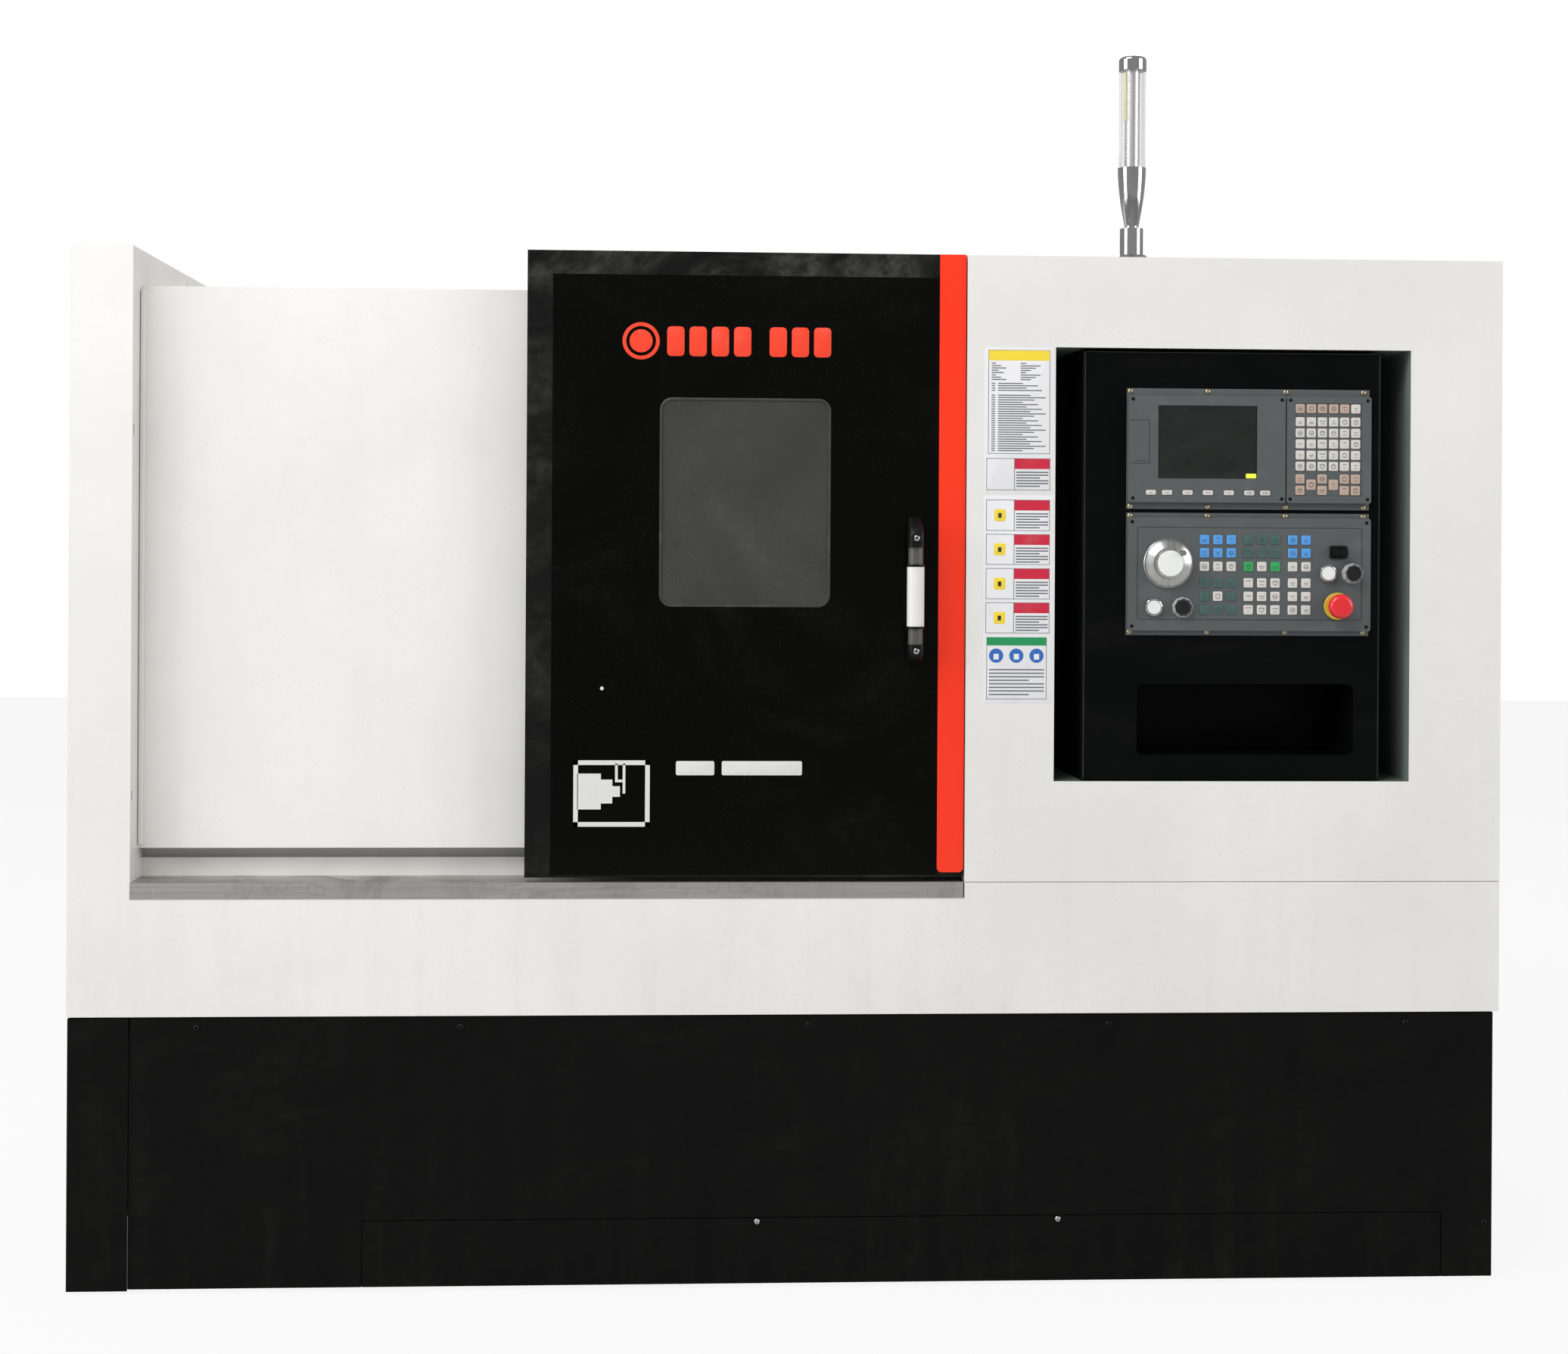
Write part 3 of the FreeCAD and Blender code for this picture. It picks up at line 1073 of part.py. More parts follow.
def make_tailstock():
    """Tailstock body on its own trucks, bored for the quill."""
    x0, x1 = TAILSTOCK
    half = TAILSTOCK_HALF
    base = box(x0 - 20, x1, SADDLE_ALONG[0], 272.0, SADDLE_BOTTOM, SADDLE_BOTTOM + 35)
    column = box(x0, x1, -half, half, SADDLE_BOTTOM + 30, half)
    long_edges = [edge for edge in column.Edges
                  if abs(edge.Vertexes[0].X - edge.Vertexes[1].X) > 10 and edge.Vertexes[0].Z > 0]
    column = column.makeFillet(35.0, long_edges)
    trucks = [truck(start, start + 70, along) for start in (x0 - 20, x1 - 70) for along in RAILS_ALONG]
    bore = rod("x", x0 - 1, x1 - 30, QUILL_RADIUS + RUNNING_FIT, (0, 0))
    screw_room = box(x0 - 30, x1 + 1, SCREW_ALONG - 24, SCREW_ALONG + 24, -BED_DROP, SADDLE_BOTTOM + 3)
    return slanted(less(join([base, column] + trucks), [bore, screw_room]))


def make_quill():
    """Tailstock quill with its tapered socket shown as a plain bore."""
    x0, x1 = QUILL
    body = rod("x", x0, x1, QUILL_RADIUS, (AXIS_Y, AXIS_Z))
    bore = rod("x", x0 - 1, x0 + 90, CENTRE_SHANK + RUNNING_FIT, (AXIS_Y, AXIS_Z))
    return less(body, [bore])


def make_centre():
    """Live centre: point, head and shank."""
    axis = (AXIS_Y, AXIS_Z)
    x0 = QUILL[0]
    shank = rod("x", x0 - 2, x0 + 85, CENTRE_SHANK, axis)
    head = rod("x", x0 - 35, x0 - ROLL_GAP, 32.0, axis)
    point = Part.makeCone(1.0, 24.0, 40.0, vec(CENTRE_TIP, AXIS_Y, AXIS_Z), X_AXIS)
    return join([shank, head, point])


# --- Console ------------------------------------------------------------------------------------
def console_axis():
    """(x, y) of the console's swivel pins."""
    return ((CONSOLE_LEFT + CONSOLE_RIGHT) / 2, CONSOLE_FACE + CONSOLE_DEPTH / 2)


def make_console():
    """Console box with its shelf pocket, open at the back, on two swivel pins."""
    bottom = NICHE_BOTTOM + CONSOLE_CLEARANCE
    top = NICHE_TOP - CONSOLE_TOP_CLEARANCE
    rear = CONSOLE_FACE + CONSOLE_DEPTH
    shell = box(CONSOLE_LEFT, CONSOLE_RIGHT, CONSOLE_FACE, rear, bottom, top)
    uprights = [edge for edge in shell.Edges
                if abs(edge.Vertexes[0].Z - edge.Vertexes[1].Z) > 10 and edge.Vertexes[0].Y < CONSOLE_FACE + 1]
    shell = shell.makeFillet(3.0, uprights)
    hollow = box(CONSOLE_LEFT + SHEET, CONSOLE_RIGHT - SHEET, CONSOLE_FACE + SHEET, rear + 1,
                 bottom + SHEET, top - SHEET)
    x0, x1, z0, z1 = POCKET
    tub_rear = CONSOLE_FACE + POCKET_DEPTH
    tub = rounded_plate(x0 - 2, x1 + 2, z0 - 2, z1 + 2, CONSOLE_FACE, tub_rear + 2, POCKET_RADIUS + 2)
    room = rounded_plate(x0, x1, z0, z1, CONSOLE_FACE - 1, tub_rear, POCKET_RADIUS)
    at = console_axis()
    pins = [rod("z", NICHE_BOTTOM - PIVOT_BOSS_HEIGHT + 2, bottom + SHEET, PIVOT_RADIUS, at),
            rod("z", top - SHEET, NICHE_TOP + PIVOT_BOSS_HEIGHT - 2, PIVOT_RADIUS, at)]
    return less(join([less(shell, [hollow]), tub] + pins), [room])


def make_display():
    """Display and keypad unit: backing plate and two bezels."""
    x0, x1, z0, z1 = DISPLAY
    face = CONSOLE_FACE - BACKING
    plate = box(x0 - 1, x1 - 1, face, CONSOLE_FACE, z0, z1)
    left = rounded_plate(x0, KEYPAD_LEFT - 2, BEZEL_BOTTOM, BEZEL_TOP, face - BEZEL, face, BEZEL_RADIUS)
    right = rounded_plate(KEYPAD_LEFT, x1, BEZEL_BOTTOM, BEZEL_TOP, face - BEZEL, face, BEZEL_RADIUS)
    sx0, sx1, sz0, sz1 = SCREEN
    screen = box(sx0, sx1, face - BEZEL - 1, face - BEZEL + 2.5, sz0, sz1)
    pad = box(KEYPAD_LEFT + 14, x1 - 16, face - BEZEL - 1, face - BEZEL + 1.5, BEZEL_BOTTOM + 12, BEZEL_TOP - 11)
    return less(join([plate, left, right]), [screen, pad])


def make_operator():
    """Operator unit: backing plate, panel, dial ring, button collars and stem holes."""
    x0, x1, z0, z1 = OPERATOR
    back = CONSOLE_FACE - BACKING
    plate = box(x0 - 1, x1 - 1, back, CONSOLE_FACE, z0, z1)
    panel = rounded_plate(x0, x1, z0 + 8, z1 - 8, OPERATOR_FACE, back, BEZEL_RADIUS)
    ring = less(rounded_plate(x0 + 15, x1 - 14, z0 + 25, z1 - 23, OPERATOR_FACE - 1, OPERATOR_FACE + 1, 3.0),
                [rounded_plate(x0 + 17, x1 - 16, z0 + 27, z1 - 25, OPERATOR_FACE - 2, OPERATOR_FACE + 2, 2.0)])
    dial = rod("y", OPERATOR_FACE - 3, OPERATOR_FACE, WHEEL_DIAL_RADIUS, WHEEL_AT)
    collars = [rod("y", OPERATOR_FACE - 5, OPERATOR_FACE, BUTTON_COLLAR, at) for at in BUTTONS.values()]
    disc = rod("y", OPERATOR_FACE - 4, OPERATOR_FACE, 22.0, ESTOP_AT)
    lever = rod("y", OPERATOR_FACE - 4, OPERATOR_FACE, 12.0, SWITCH_AT)
    guard_at = BUTTONS["button_guarded"]
    guard = less(rod("y", OPERATOR_FACE - 16, OPERATOR_FACE - 5, BUTTON_COLLAR, guard_at),
                 [rod("y", OPERATOR_FACE - 17, OPERATOR_FACE - 4, BUTTON_COLLAR - 1.5, guard_at)])
    holes = [rod("y", OPERATOR_FACE - 17, CONSOLE_FACE + 1, BUTTON_STEM + RUNNING_FIT, at)
             for at in list(BUTTONS.values()) + [ESTOP_AT, SWITCH_AT]]
    holes.append(rod("y", OPERATOR_FACE - 9, CONSOLE_FACE + 1, 6.0 + RUNNING_FIT, WHEEL_AT))
    wells = [rod("y", OPERATOR_FACE - 6, OPERATOR_FACE - 1, BUTTON_RADIUS + 0.4, at) for at in BUTTONS.values()]
    return less(join([plate, panel, dial, disc, lever, guard] + collars), holes + wells + [ring])


def make_wheel():
    """Pulse-generator handwheel: sloping skirt, raised cap and crank knob."""
    x, z = WHEEL_AT
    back = OPERATOR_FACE - 3 - ROLL_GAP
    outline = [(0, 0), (WHEEL_RADIUS, 0), (WHEEL_RADIUS, 2), (WHEEL_CAP_RADIUS + 1.5, 9),
               (WHEEL_CAP_RADIUS, 9), (WHEEL_CAP_RADIUS, 17), (WHEEL_CAP_RADIUS - 3, 18), (0, 18)]
    corners = [vec(x + r, back - out, z) for r, out in outline]
    body = Part.Face(Part.makePolygon(corners + corners[:1])).revolve(vec(x, back, z), Y_AXIS, 360)
    knob = rod("y", back - 25, back - 5, 4.5, (x + 20, z + 17))
    stem = rod("y", back - 1, CONSOLE_FACE - ROLL_GAP, 6.0, WHEEL_AT)
    return join([body, knob, stem])


def make_button(at, cap_out):
    """Round push button: cap in its collar and stem in the panel."""
    cap = rod("y", OPERATOR_FACE - cap_out, OPERATOR_FACE - 1 - BUTTON_STROKE - ROLL_GAP, BUTTON_RADIUS, at)
    stem = rod("y", OPERATOR_FACE - 1 - BUTTON_STROKE - ROLL_GAP, CONSOLE_FACE - BUTTON_STROKE - 1,
               BUTTON_STEM, at)
    return join([cap, stem])


def make_estop():
    """Mushroom emergency-stop button."""
    x, z = ESTOP_AT
    out = OPERATOR_FACE - 34
    head = rod("y", out, out + 15, 20.0, ESTOP_AT)
    rims = [edge for edge in head.Edges if edge.Closed and abs(edge.Vertexes[0].Y - out) < 0.01]
    head = head.makeFillet(8.0, rims)
    neck = rod("y", out + 15, OPERATOR_FACE - 4 - ESTOP_STROKE - ROLL_GAP, 13.0, ESTOP_AT)
    stem = rod("y", out + 15, CONSOLE_FACE - ESTOP_STROKE - 1, BUTTON_STEM, ESTOP_AT)
    return join([head, neck, stem])


def make_switch():
    """Two-position selector with its bar grip."""
    x, z = SWITCH_AT
    back = OPERATOR_FACE - 4 - ROLL_GAP
    grip = box(x - 12, x + 12, back - 12, back - 4, z - 4.5, z + 4.5)
    base = rod("y", back - 4, back, 11.0, SWITCH_AT)
    stem = rod("y", back, CONSOLE_FACE - ROLL_GAP, BUTTON_STEM, SWITCH_AT)
    return join([grip, base, stem])


# --- Signal tower ---------------------------------------------------------------------------------
def make_tower_base():
    """Chrome foot and flared seat, with the light column and the cap above it."""
    neck_top = TOWER_FOOT_TOP + 4
    rise = TOWER_TUBE_BOTTOM - neck_top
    low = [(0, CABINET_TOP), (TOWER_FLANGE_RADIUS, CABINET_TOP), (TOWER_FLANGE_RADIUS, CABINET_TOP + 3),
           (TOWER_FOOT_RADIUS + 4, CABINET_TOP + 8), (TOWER_FOOT_RADIUS, CABINET_TOP + 8),
           (TOWER_FOOT_RADIUS, TOWER_FOOT_TOP), (TOWER_NECK_RADIUS, TOWER_FOOT_TOP),
           (TOWER_NECK_RADIUS, neck_top)]
    swell = TOWER_RADIUS - TOWER_NECK_RADIUS
    flare = [(TOWER_NECK_RADIUS + swell * share, neck_top + rise * height)
             for share, height in ((0.0, 0.0), (0.39, 0.26), (0.71, 0.51), (0.93, 0.79), (1.0, 1.0))]
    corners = [vec(TOWER_X + r, TOWER_Y, z) for r, z in low]
    curve = Part.BSplineCurve()
    curve.interpolate([vec(TOWER_X + r, TOWER_Y, z) for r, z in flare])
    top = vec(TOWER_X, TOWER_Y, TOWER_TUBE_BOTTOM)
    edges = [Part.makeLine(a, b) for a, b in zip(corners, corners[1:])]
    edges.append(curve.toShape())
    edges.append(Part.makeLine(vec(TOWER_X + TOWER_RADIUS, TOWER_Y, TOWER_TUBE_BOTTOM), top))
    edges.append(Part.makeLine(top, corners[0]))
    foot = Part.Face(Part.Wire(edges)).revolve(vec(TOWER_X, TOWER_Y, 0), Z_AXIS, 360)
    at = (TOWER_X, TOWER_Y)
    column = rod("z", TOWER_TUBE_BOTTOM - 1, TOWER_TUBE_TOP + 1, TOWER_CORE_RADIUS, at)
    cap = rod("z", TOWER_TUBE_TOP, TOWER_TOP, TOWER_RADIUS, at)
    rims = [edge for edge in cap.Edges if edge.Closed and abs(edge.Vertexes[0].Z - TOWER_TOP) < 0.01]
    return join([foot, column, cap.makeFillet(6.0, rims)])


def make_tower_lens():
    """Clear tube round the light column."""
    at = (TOWER_X, TOWER_Y)
    tube = rod("z", TOWER_TUBE_BOTTOM, TOWER_TUBE_TOP, TOWER_RADIUS - 1, at)
    return less(tube, [rod("z", TOWER_TUBE_BOTTOM - 1, TOWER_TUBE_TOP + 1, TOWER_RADIUS - 4, at)])


# --- Build ------------------------------------------------------------------------------------------
def build_all():
    """Every node by name."""
    left_roller, right_roller = roller_places()
    nodes = {
        "bed_casting": make_bed(),
        "levelling_feet": make_feet(),
        "base_skirt": make_base_skirt(),
        "kick_panel": make_kick_panel(),
        "end_cover_skirt": make_end_skirt(),
        "end_cover": make_end_cover(),
        "front_guard": make_front_guard(),
        "door_rail": make_door_rail(),
        "lower_guide": make_lower_guide(),
        "front_ledge": make_ledge(),
        "lower_front_panel": make_lower_panel(),
        "rear_housing": make_rear_housing(),
        "cabinet_door": make_cabinet_door(),
        "right_front_panel": make_right_front(),
        "right_side_panel": make_right_side(),
        "top_cover": make_top_cover(),
        "splash_liner": make_liner(),
        "door_frame": make_door_frame(),
        "door_fascia": make_fascia(),
        "window_pane": make_window(),
        "door_edge_strip": make_edge_strip(),
        "handle_feet": make_handle_feet(),
        "handle_bar": make_handle_bar(),
        "door_roller_left": make_roller(left_roller),
        "door_roller_right": make_roller(right_roller),
        "headstock_housing": make_headstock(),
        "spindle_bearings": make_bearings(),
        "spindle": make_spindle(),
        "spindle_pulley": pulley(PULLEY_RADIUS, SPINDLE_TAIL_RADIUS, (AXIS_Y, AXIS_Z)),
        "spindle_motor": make_motor(),
        "motor_pulley": make_motor_pulley(),
        "drive_belt": make_belt(),
        "chuck_body": make_chuck(),
        "z_rails": make_z_rails(),
        "z_screw": make_z_screw(),
        "z_motor": make_z_motor(),
        "saddle": make_saddle(),
        "x_motor": make_x_motor(),
        "cross_slide": make_cross_slide(),
        "turret_housing": make_turret(),
        "turret_disc": make_disc(),
        "turret_tools": make_tools(),
        "tailstock_body": make_tailstock(),
        "tailstock_quill": make_quill(),
        "live_centre": make_centre(),
        "console_housing": make_console(),
        "display_unit": make_display(),
        "operator_unit": make_operator(),
        "handwheel": make_wheel(),
        "estop_button": make_estop(),
        "mode_switch": make_switch(),
        "tower_base": make_tower_base(),
        "tower_lens": make_tower_lens(),
    }
    for number in range(JAWS):
        nodes[f"chuck_jaw_{number + 1}"] = make_jaw(number)
    for name, at in BUTTONS.items():
        cap_out = 13.0 if name == "button_guarded" else 9.0
        nodes[name] = make_button(at, cap_out)
    return nodes


os.makedirs(PARTS, exist_ok=True)
for node_name, node_shape in build_all().items():
    node_shape.exportStep(os.path.join(PARTS, node_name + ".step"))
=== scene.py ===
"""Looks of a slant-bed turning lathe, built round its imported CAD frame.

Sizes in the classes are millimetres in the frame's own axes (+X to the operator's right,
-Y towards the operator, +Z up) and become metres when a mesh is made.
"""

import json
import logging
import math
from abc import ABC, abstractmethod
from collections.abc import Callable
from dataclasses import dataclass, field
from enum import Enum

import bmesh
import bpy
import numpy as np
from mathutils import Matrix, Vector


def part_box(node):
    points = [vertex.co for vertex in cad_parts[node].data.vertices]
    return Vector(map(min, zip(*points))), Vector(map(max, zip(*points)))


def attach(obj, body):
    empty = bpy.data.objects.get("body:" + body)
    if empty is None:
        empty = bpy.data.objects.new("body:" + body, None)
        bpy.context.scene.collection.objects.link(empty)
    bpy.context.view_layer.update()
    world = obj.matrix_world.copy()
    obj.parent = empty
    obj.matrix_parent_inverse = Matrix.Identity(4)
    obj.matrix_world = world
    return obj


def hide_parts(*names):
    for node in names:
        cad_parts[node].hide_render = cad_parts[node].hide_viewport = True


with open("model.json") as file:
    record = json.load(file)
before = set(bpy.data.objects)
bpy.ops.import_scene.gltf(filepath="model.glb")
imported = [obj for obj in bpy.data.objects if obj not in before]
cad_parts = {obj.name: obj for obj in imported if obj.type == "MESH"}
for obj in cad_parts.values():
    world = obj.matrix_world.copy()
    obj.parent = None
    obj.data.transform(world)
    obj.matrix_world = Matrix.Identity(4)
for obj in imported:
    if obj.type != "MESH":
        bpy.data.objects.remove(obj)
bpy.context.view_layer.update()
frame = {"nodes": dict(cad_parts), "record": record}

log = logging.getLogger("lathe")
MM = 0.001
TINT = "tint"
Pair = tuple[float, float]
Triple = tuple[float, float, float]
Box = tuple[float, float, float, float]  # from and to along one axis, then along another
Colour = Triple


def shade(red: int, green: int, blue: int) -> Colour:
    """Linear colour of a display colour, by the sRGB curve.

    Args:
        red, green, blue: 0 to 255.

    Returns:
        Three linear values.
    """
    out = []
    for value in (red, green, blue):
        part = value / 255.0
        out.append(part / 12.92 if part <= 0.04045 else ((part + 0.055) / 1.055) ** 2.4)
    return out[0], out[1], out[2]


# --- Shader building ------------------------------------------------------------------
class Wire:
    """A shader socket that can be used in sums; each operator adds one Math node."""

    def __init__(self, paint: "Paint", socket: bpy.types.NodeSocket) -> None:
        """Keep the material being built and the socket."""
        self.paint = paint
        self.socket = socket

    def maths(self, operation: str, *values: "Wire | float") -> "Wire":
        """One Math node on the values, in their order."""
        return self.paint.node("ShaderNodeMath", {"operation": operation}, dict(enumerate(values)))

    def ease(self, low: float, high: float) -> "Wire":
        """0 below low, 1 above high, smooth between."""
        inputs = {"Value": self, "From Min": low, "From Max": high}
        return self.paint.node("ShaderNodeMapRange", {"interpolation_type": "SMOOTHSTEP"}, inputs)


def operator(operation: str, swapped: bool = False) -> Callable[..., Wire]:
    """A Wire method that adds one Math node.

    Args:
        operation: what the node does.
        swapped: whether the wire itself comes after the other value.

    Returns:
        The method.
    """

    def method(wire: Wire, *others: Wire | float) -> Wire:
        """One Math node on the wire and the other values."""
        return wire.maths(operation, *((*others, wire) if swapped else (wire, *others)))

    return method


for method_name, node_operation, is_swapped in (
    ("__add__", "ADD", False), ("__sub__", "SUBTRACT", False), ("__rsub__", "SUBTRACT", True),
    ("__mul__", "MULTIPLY", False), ("__truediv__", "DIVIDE", False), ("__pow__", "POWER", False),
    ("__gt__", "GREATER_THAN", False), ("__lt__", "LESS_THAN", False), ("__abs__", "ABSOLUTE", False),
    ("sine", "SINE", False), ("part", "FRACT", False), ("least", "MINIMUM", False),
):
    setattr(Wire, method_name, operator(node_operation, is_swapped))


class Paint:
    """One material under construction."""

    def __init__(self, name: str) -> None:
        """Start an empty material."""
        self.material = bpy.data.materials.new(name)
        self.material.use_nodes = True
        self.tree = self.material.node_tree
        self.tree.nodes.clear()
        self.sheet = self.tree.nodes.new("ShaderNodeOutputMaterial")

    def node(self, kind: str, settings: dict | None = None, inputs: dict | None = None,
             output: int | str = 0) -> Wire:
        """Add any node.

        Args:
            kind: node type.
            settings: attributes of the node; "stops" holds a ramp's (place, colour) pairs.
            inputs: values or links by socket name or number.
            output: socket to return.

        Returns:
            The chosen output.
        """
        made = self.tree.nodes.new(kind)
        for key, value in (settings or {}).items():
            if key == "stops":
                ramp = made.color_ramp.elements
                while len(ramp) < len(value):
                    ramp.new(0.5)
                for stop, (place, colour) in zip(ramp, value):
                    stop.position = place
                    stop.color = (*colour, 1.0)
            else:
                setattr(made, key, value)
        for key, value in (inputs or {}).items():
            socket = made.inputs[key]
            if isinstance(value, Wire):
                self.tree.links.new(value.socket, socket)
            elif isinstance(value, tuple) and len(value) == 3 and len(socket.default_value) == 4:
                socket.default_value = (*value, 1.0)
            else:
                socket.default_value = value
        return Wire(self, made.outputs[output])

    def place(self, scale: tuple = (1.0, 1.0, 1.0), turn: tuple = (0.0, 0.0, 0.0)) -> Wire:
        """Object coordinates in metres, turned and stretched."""
        base = self.node("ShaderNodeTexCoord", output="Object")
        return self.node("ShaderNodeMapping", None, {"Vector": base, "Scale": scale, "Rotation": turn})

    def axes(self, vector: Wire | None = None) -> tuple[Wire, Wire, Wire]:
        """The three parts of a vector, Object coordinates by default."""
        first = self.node("ShaderNodeSeparateXYZ", None, {0: vector or self.place()})
        outs = first.socket.node.outputs
        return first, Wire(self, outs[1]), Wire(self, outs[2])

    def noise(self, scale: float, detail: float = 2.0, rough: float = 0.5, vector: Wire | None = None,
              bend: float = 0.0) -> Wire:
        """Fractal noise from 0 to 1."""
        inputs = {"Vector": vector or self.place(), "Scale": scale, "Detail": detail,
                  "Roughness": rough, "Distortion": bend}
        return self.node("ShaderNodeTexNoise", None, inputs, "Fac")

    def cells(self, scale: float, vector: Wire | None = None) -> Wire:
        """Distance to the nearest of scattered points."""
        inputs = {"Vector": vector or self.place(), "Scale": scale}
        return self.node("ShaderNodeTexVoronoi", None, inputs, "Distance")

    def blend(self, share: Wire | float, low: Wire | Colour, high: Wire | Colour) -> Wire:
        """Mix two colours by a share from 0 to 1."""
        settings = {"data_type": "RGBA", "clamp_factor": True}
        return self.node("ShaderNodeMix", settings, {0: share, 6: low, 7: high}, 2)

    def vary(self, share: Wire, colour: Colour, low: float, high: float) -> Wire:
        """One colour, made lighter or darker by factors from low to high."""
        return self.blend(share, scaled(colour, low), scaled(colour, high))

    def tint(self) -> Wire:
        """The colour stored on the mesh's points."""
        return self.node("ShaderNodeAttribute", {"attribute_name": TINT}, None, "Color")

    def bump(self, height: Wire, distance: float, strength: float = 1.0,
             normal: Wire | None = None) -> Wire:
        """A normal from a height; distance is the height in metres of a full step."""
        inputs = {"Height": height, "Distance": distance, "Strength": strength}
        if normal is not None:
            inputs["Normal"] = normal
        return self.node("ShaderNodeBump", None, inputs)

    def surface(self, **inputs: "Wire | float | tuple") -> bpy.types.Material:
        """Close the material with one Principled shader; underscores in names stand for spaces."""
        named = {key.replace("_", " "): value for key, value in inputs.items()}
        shader = self.node("ShaderNodeBsdfPrincipled", None, named)
        self.tree.links.new(shader.socket, self.sheet.inputs["Surface"])
        return self.material


def scaled(colour: Colour, factor: float) -> Colour:
    """A colour made lighter or darker, kept below 1."""
    return tuple(min(part * factor, 0.97) for part in colour)


class Recipe(ABC):
    """A finish that can be made into a material."""

    def paint(self, name: str) -> bpy.types.Material:
        """Build the material under a name."""
        return self.lay(Paint(name))

    @abstractmethod
    def lay(self, mat: Paint) -> bpy.types.Material:
        """Lay the finish down, layer by layer."""


@dataclass(frozen=True)
class Coating(Recipe):
    """Powder coat on sheet metal: orange peel, faint blotches, runs and soil towards the floor.

    soil_top is the height in metres under which soil shows, smear the share of dusty wipe marks.
    """

    colour: Colour
    gloss: float = 0.38
    soil: float = 0.10
    soil_top: float = 0.9
    smear: float = 0.0
    dust: Colour = (0.30, 0.29, 0.26)
    peel: float = 0.5
    shine: float = 0.45
    lower_smear: float = 1.0
    inset: tuple[float, ...] = ()
    inset_coat_and_shade_colour: Colour = (0.01, 0.012, 0.011)

    def lay(self, mat: Paint) -> bpy.types.Material:
        """Lay the finish down; inset is a box in metres whose inside has a second colour: a real second
        coat on the handle, painted shade on the walls of the console niche.
        """
        side, deep, height = mat.axes()
        blotch = mat.noise(2.3, 5.0, 0.6)
        runs = mat.noise(1.0, 3.0, 0.6, mat.place((26.0, 26.0, 1.6)))
        fine = mat.noise(46.0, 4.0, 0.7)
        low = (1.0 - height / self.soil_top).ease(0.0, 1.0)
        soiled = ((low * 0.8 + 0.2) * runs.ease(0.42, 0.78) * fine.ease(0.2, 0.8) * self.soil).least(1.0)
        base = mat.vary(blotch.ease(0.3, 0.7), self.colour, 0.955, 1.03)
        # The inset box's second colour is real two-tone paint on the handle and painted shade in the
        # console niche.
        if self.inset:
            low_x, high_x, low_y, low_z, high_z = self.inset
            across = (side > low_x) * (side < high_x)
            inside = across * (deep > low_y) * (height > low_z) * (height < high_z)
            base = mat.blend(inside, base, self.inset_coat_and_shade_colour)
        wipe = mat.noise(3.1, 6.0, 0.66, mat.place((1.0, 1.0, 1.7), (0.0, 0.5, 0.0)), 1.4)
        veil = wipe.ease(0.40, 0.72) * fine.ease(0.15, 0.75) * self.smear
        veil = veil * (height.ease(1.60, 1.65) * (1.0 - self.lower_smear) + self.lower_smear)
        base = mat.blend(veil, base, self.dust)
        base = mat.blend(soiled, base, scaled(self.dust, 0.45))
        specks = (mat.cells(150.0) < 0.11) * (mat.noise(9.0, 2.0) > 0.56)
        base = mat.blend(specks * 0.35, base, scaled(self.dust, 0.3))
        rough = blotch * 0.10 + soiled * 0.35 + veil * 0.4 + (self.gloss - 0.05)
        wave = mat.noise(3.4, 1.0)
        skin = mat.bump(mat.noise(620.0, 1.0), 0.00006, self.peel, mat.bump(wave, 0.0016, 0.22))
        return mat.surface(Base_Color=base, Roughness=rough, Normal=skin, Specular_IOR_Level=self.shine)


@dataclass(frozen=True)
class Lacquer(Recipe):
    """Gloss black sheet with wipe marks, faint scratches and dust that gathers low down."""

    colour: Colour
    gloss: float = 0.16
    dust: Colour = (0.12, 0.12, 0.11)
    haze: float = 0.10
    shine: float = 0.16

    def lay(self, mat: Paint) -> bpy.types.Material:
        """Lay the finish down."""
        cloud = mat.noise(2.6, 6.0, 0.62, mat.place((1.0, 1.0, 1.5), (0.0, 0.6, 0.0)), 1.2)
        fine = mat.noise(60.0, 4.0, 0.7)
        veil = cloud.ease(0.45, 0.80) * fine.ease(0.2, 0.8) * self.haze
        lines = mat.noise(1.0, 2.0, 0.5, mat.place((7.0, 7.0, 420.0), (0.0, 0.35, 0.0)))
        scratch = lines.ease(0.70, 0.74) * cloud.ease(0.5, 0.6)
        motes = (mat.cells(210.0) < 0.10) * (mat.noise(5.0, 2.0) > 0.5)
        base = mat.blend(veil, self.colour, self.dust)
        base = mat.blend(motes * 0.5 + scratch * 0.12, base, self.dust)
        rough = cloud * 0.10 + veil * 1.6 + scratch * 0.15 + (self.gloss - 0.04)
        skin = mat.bump(mat.noise(2.2, 1.0), 0.0016, 0.25)
        return mat.surface(Base_Color=base, Roughness=rough, Normal=skin, Specular_IOR_Level=self.shine)


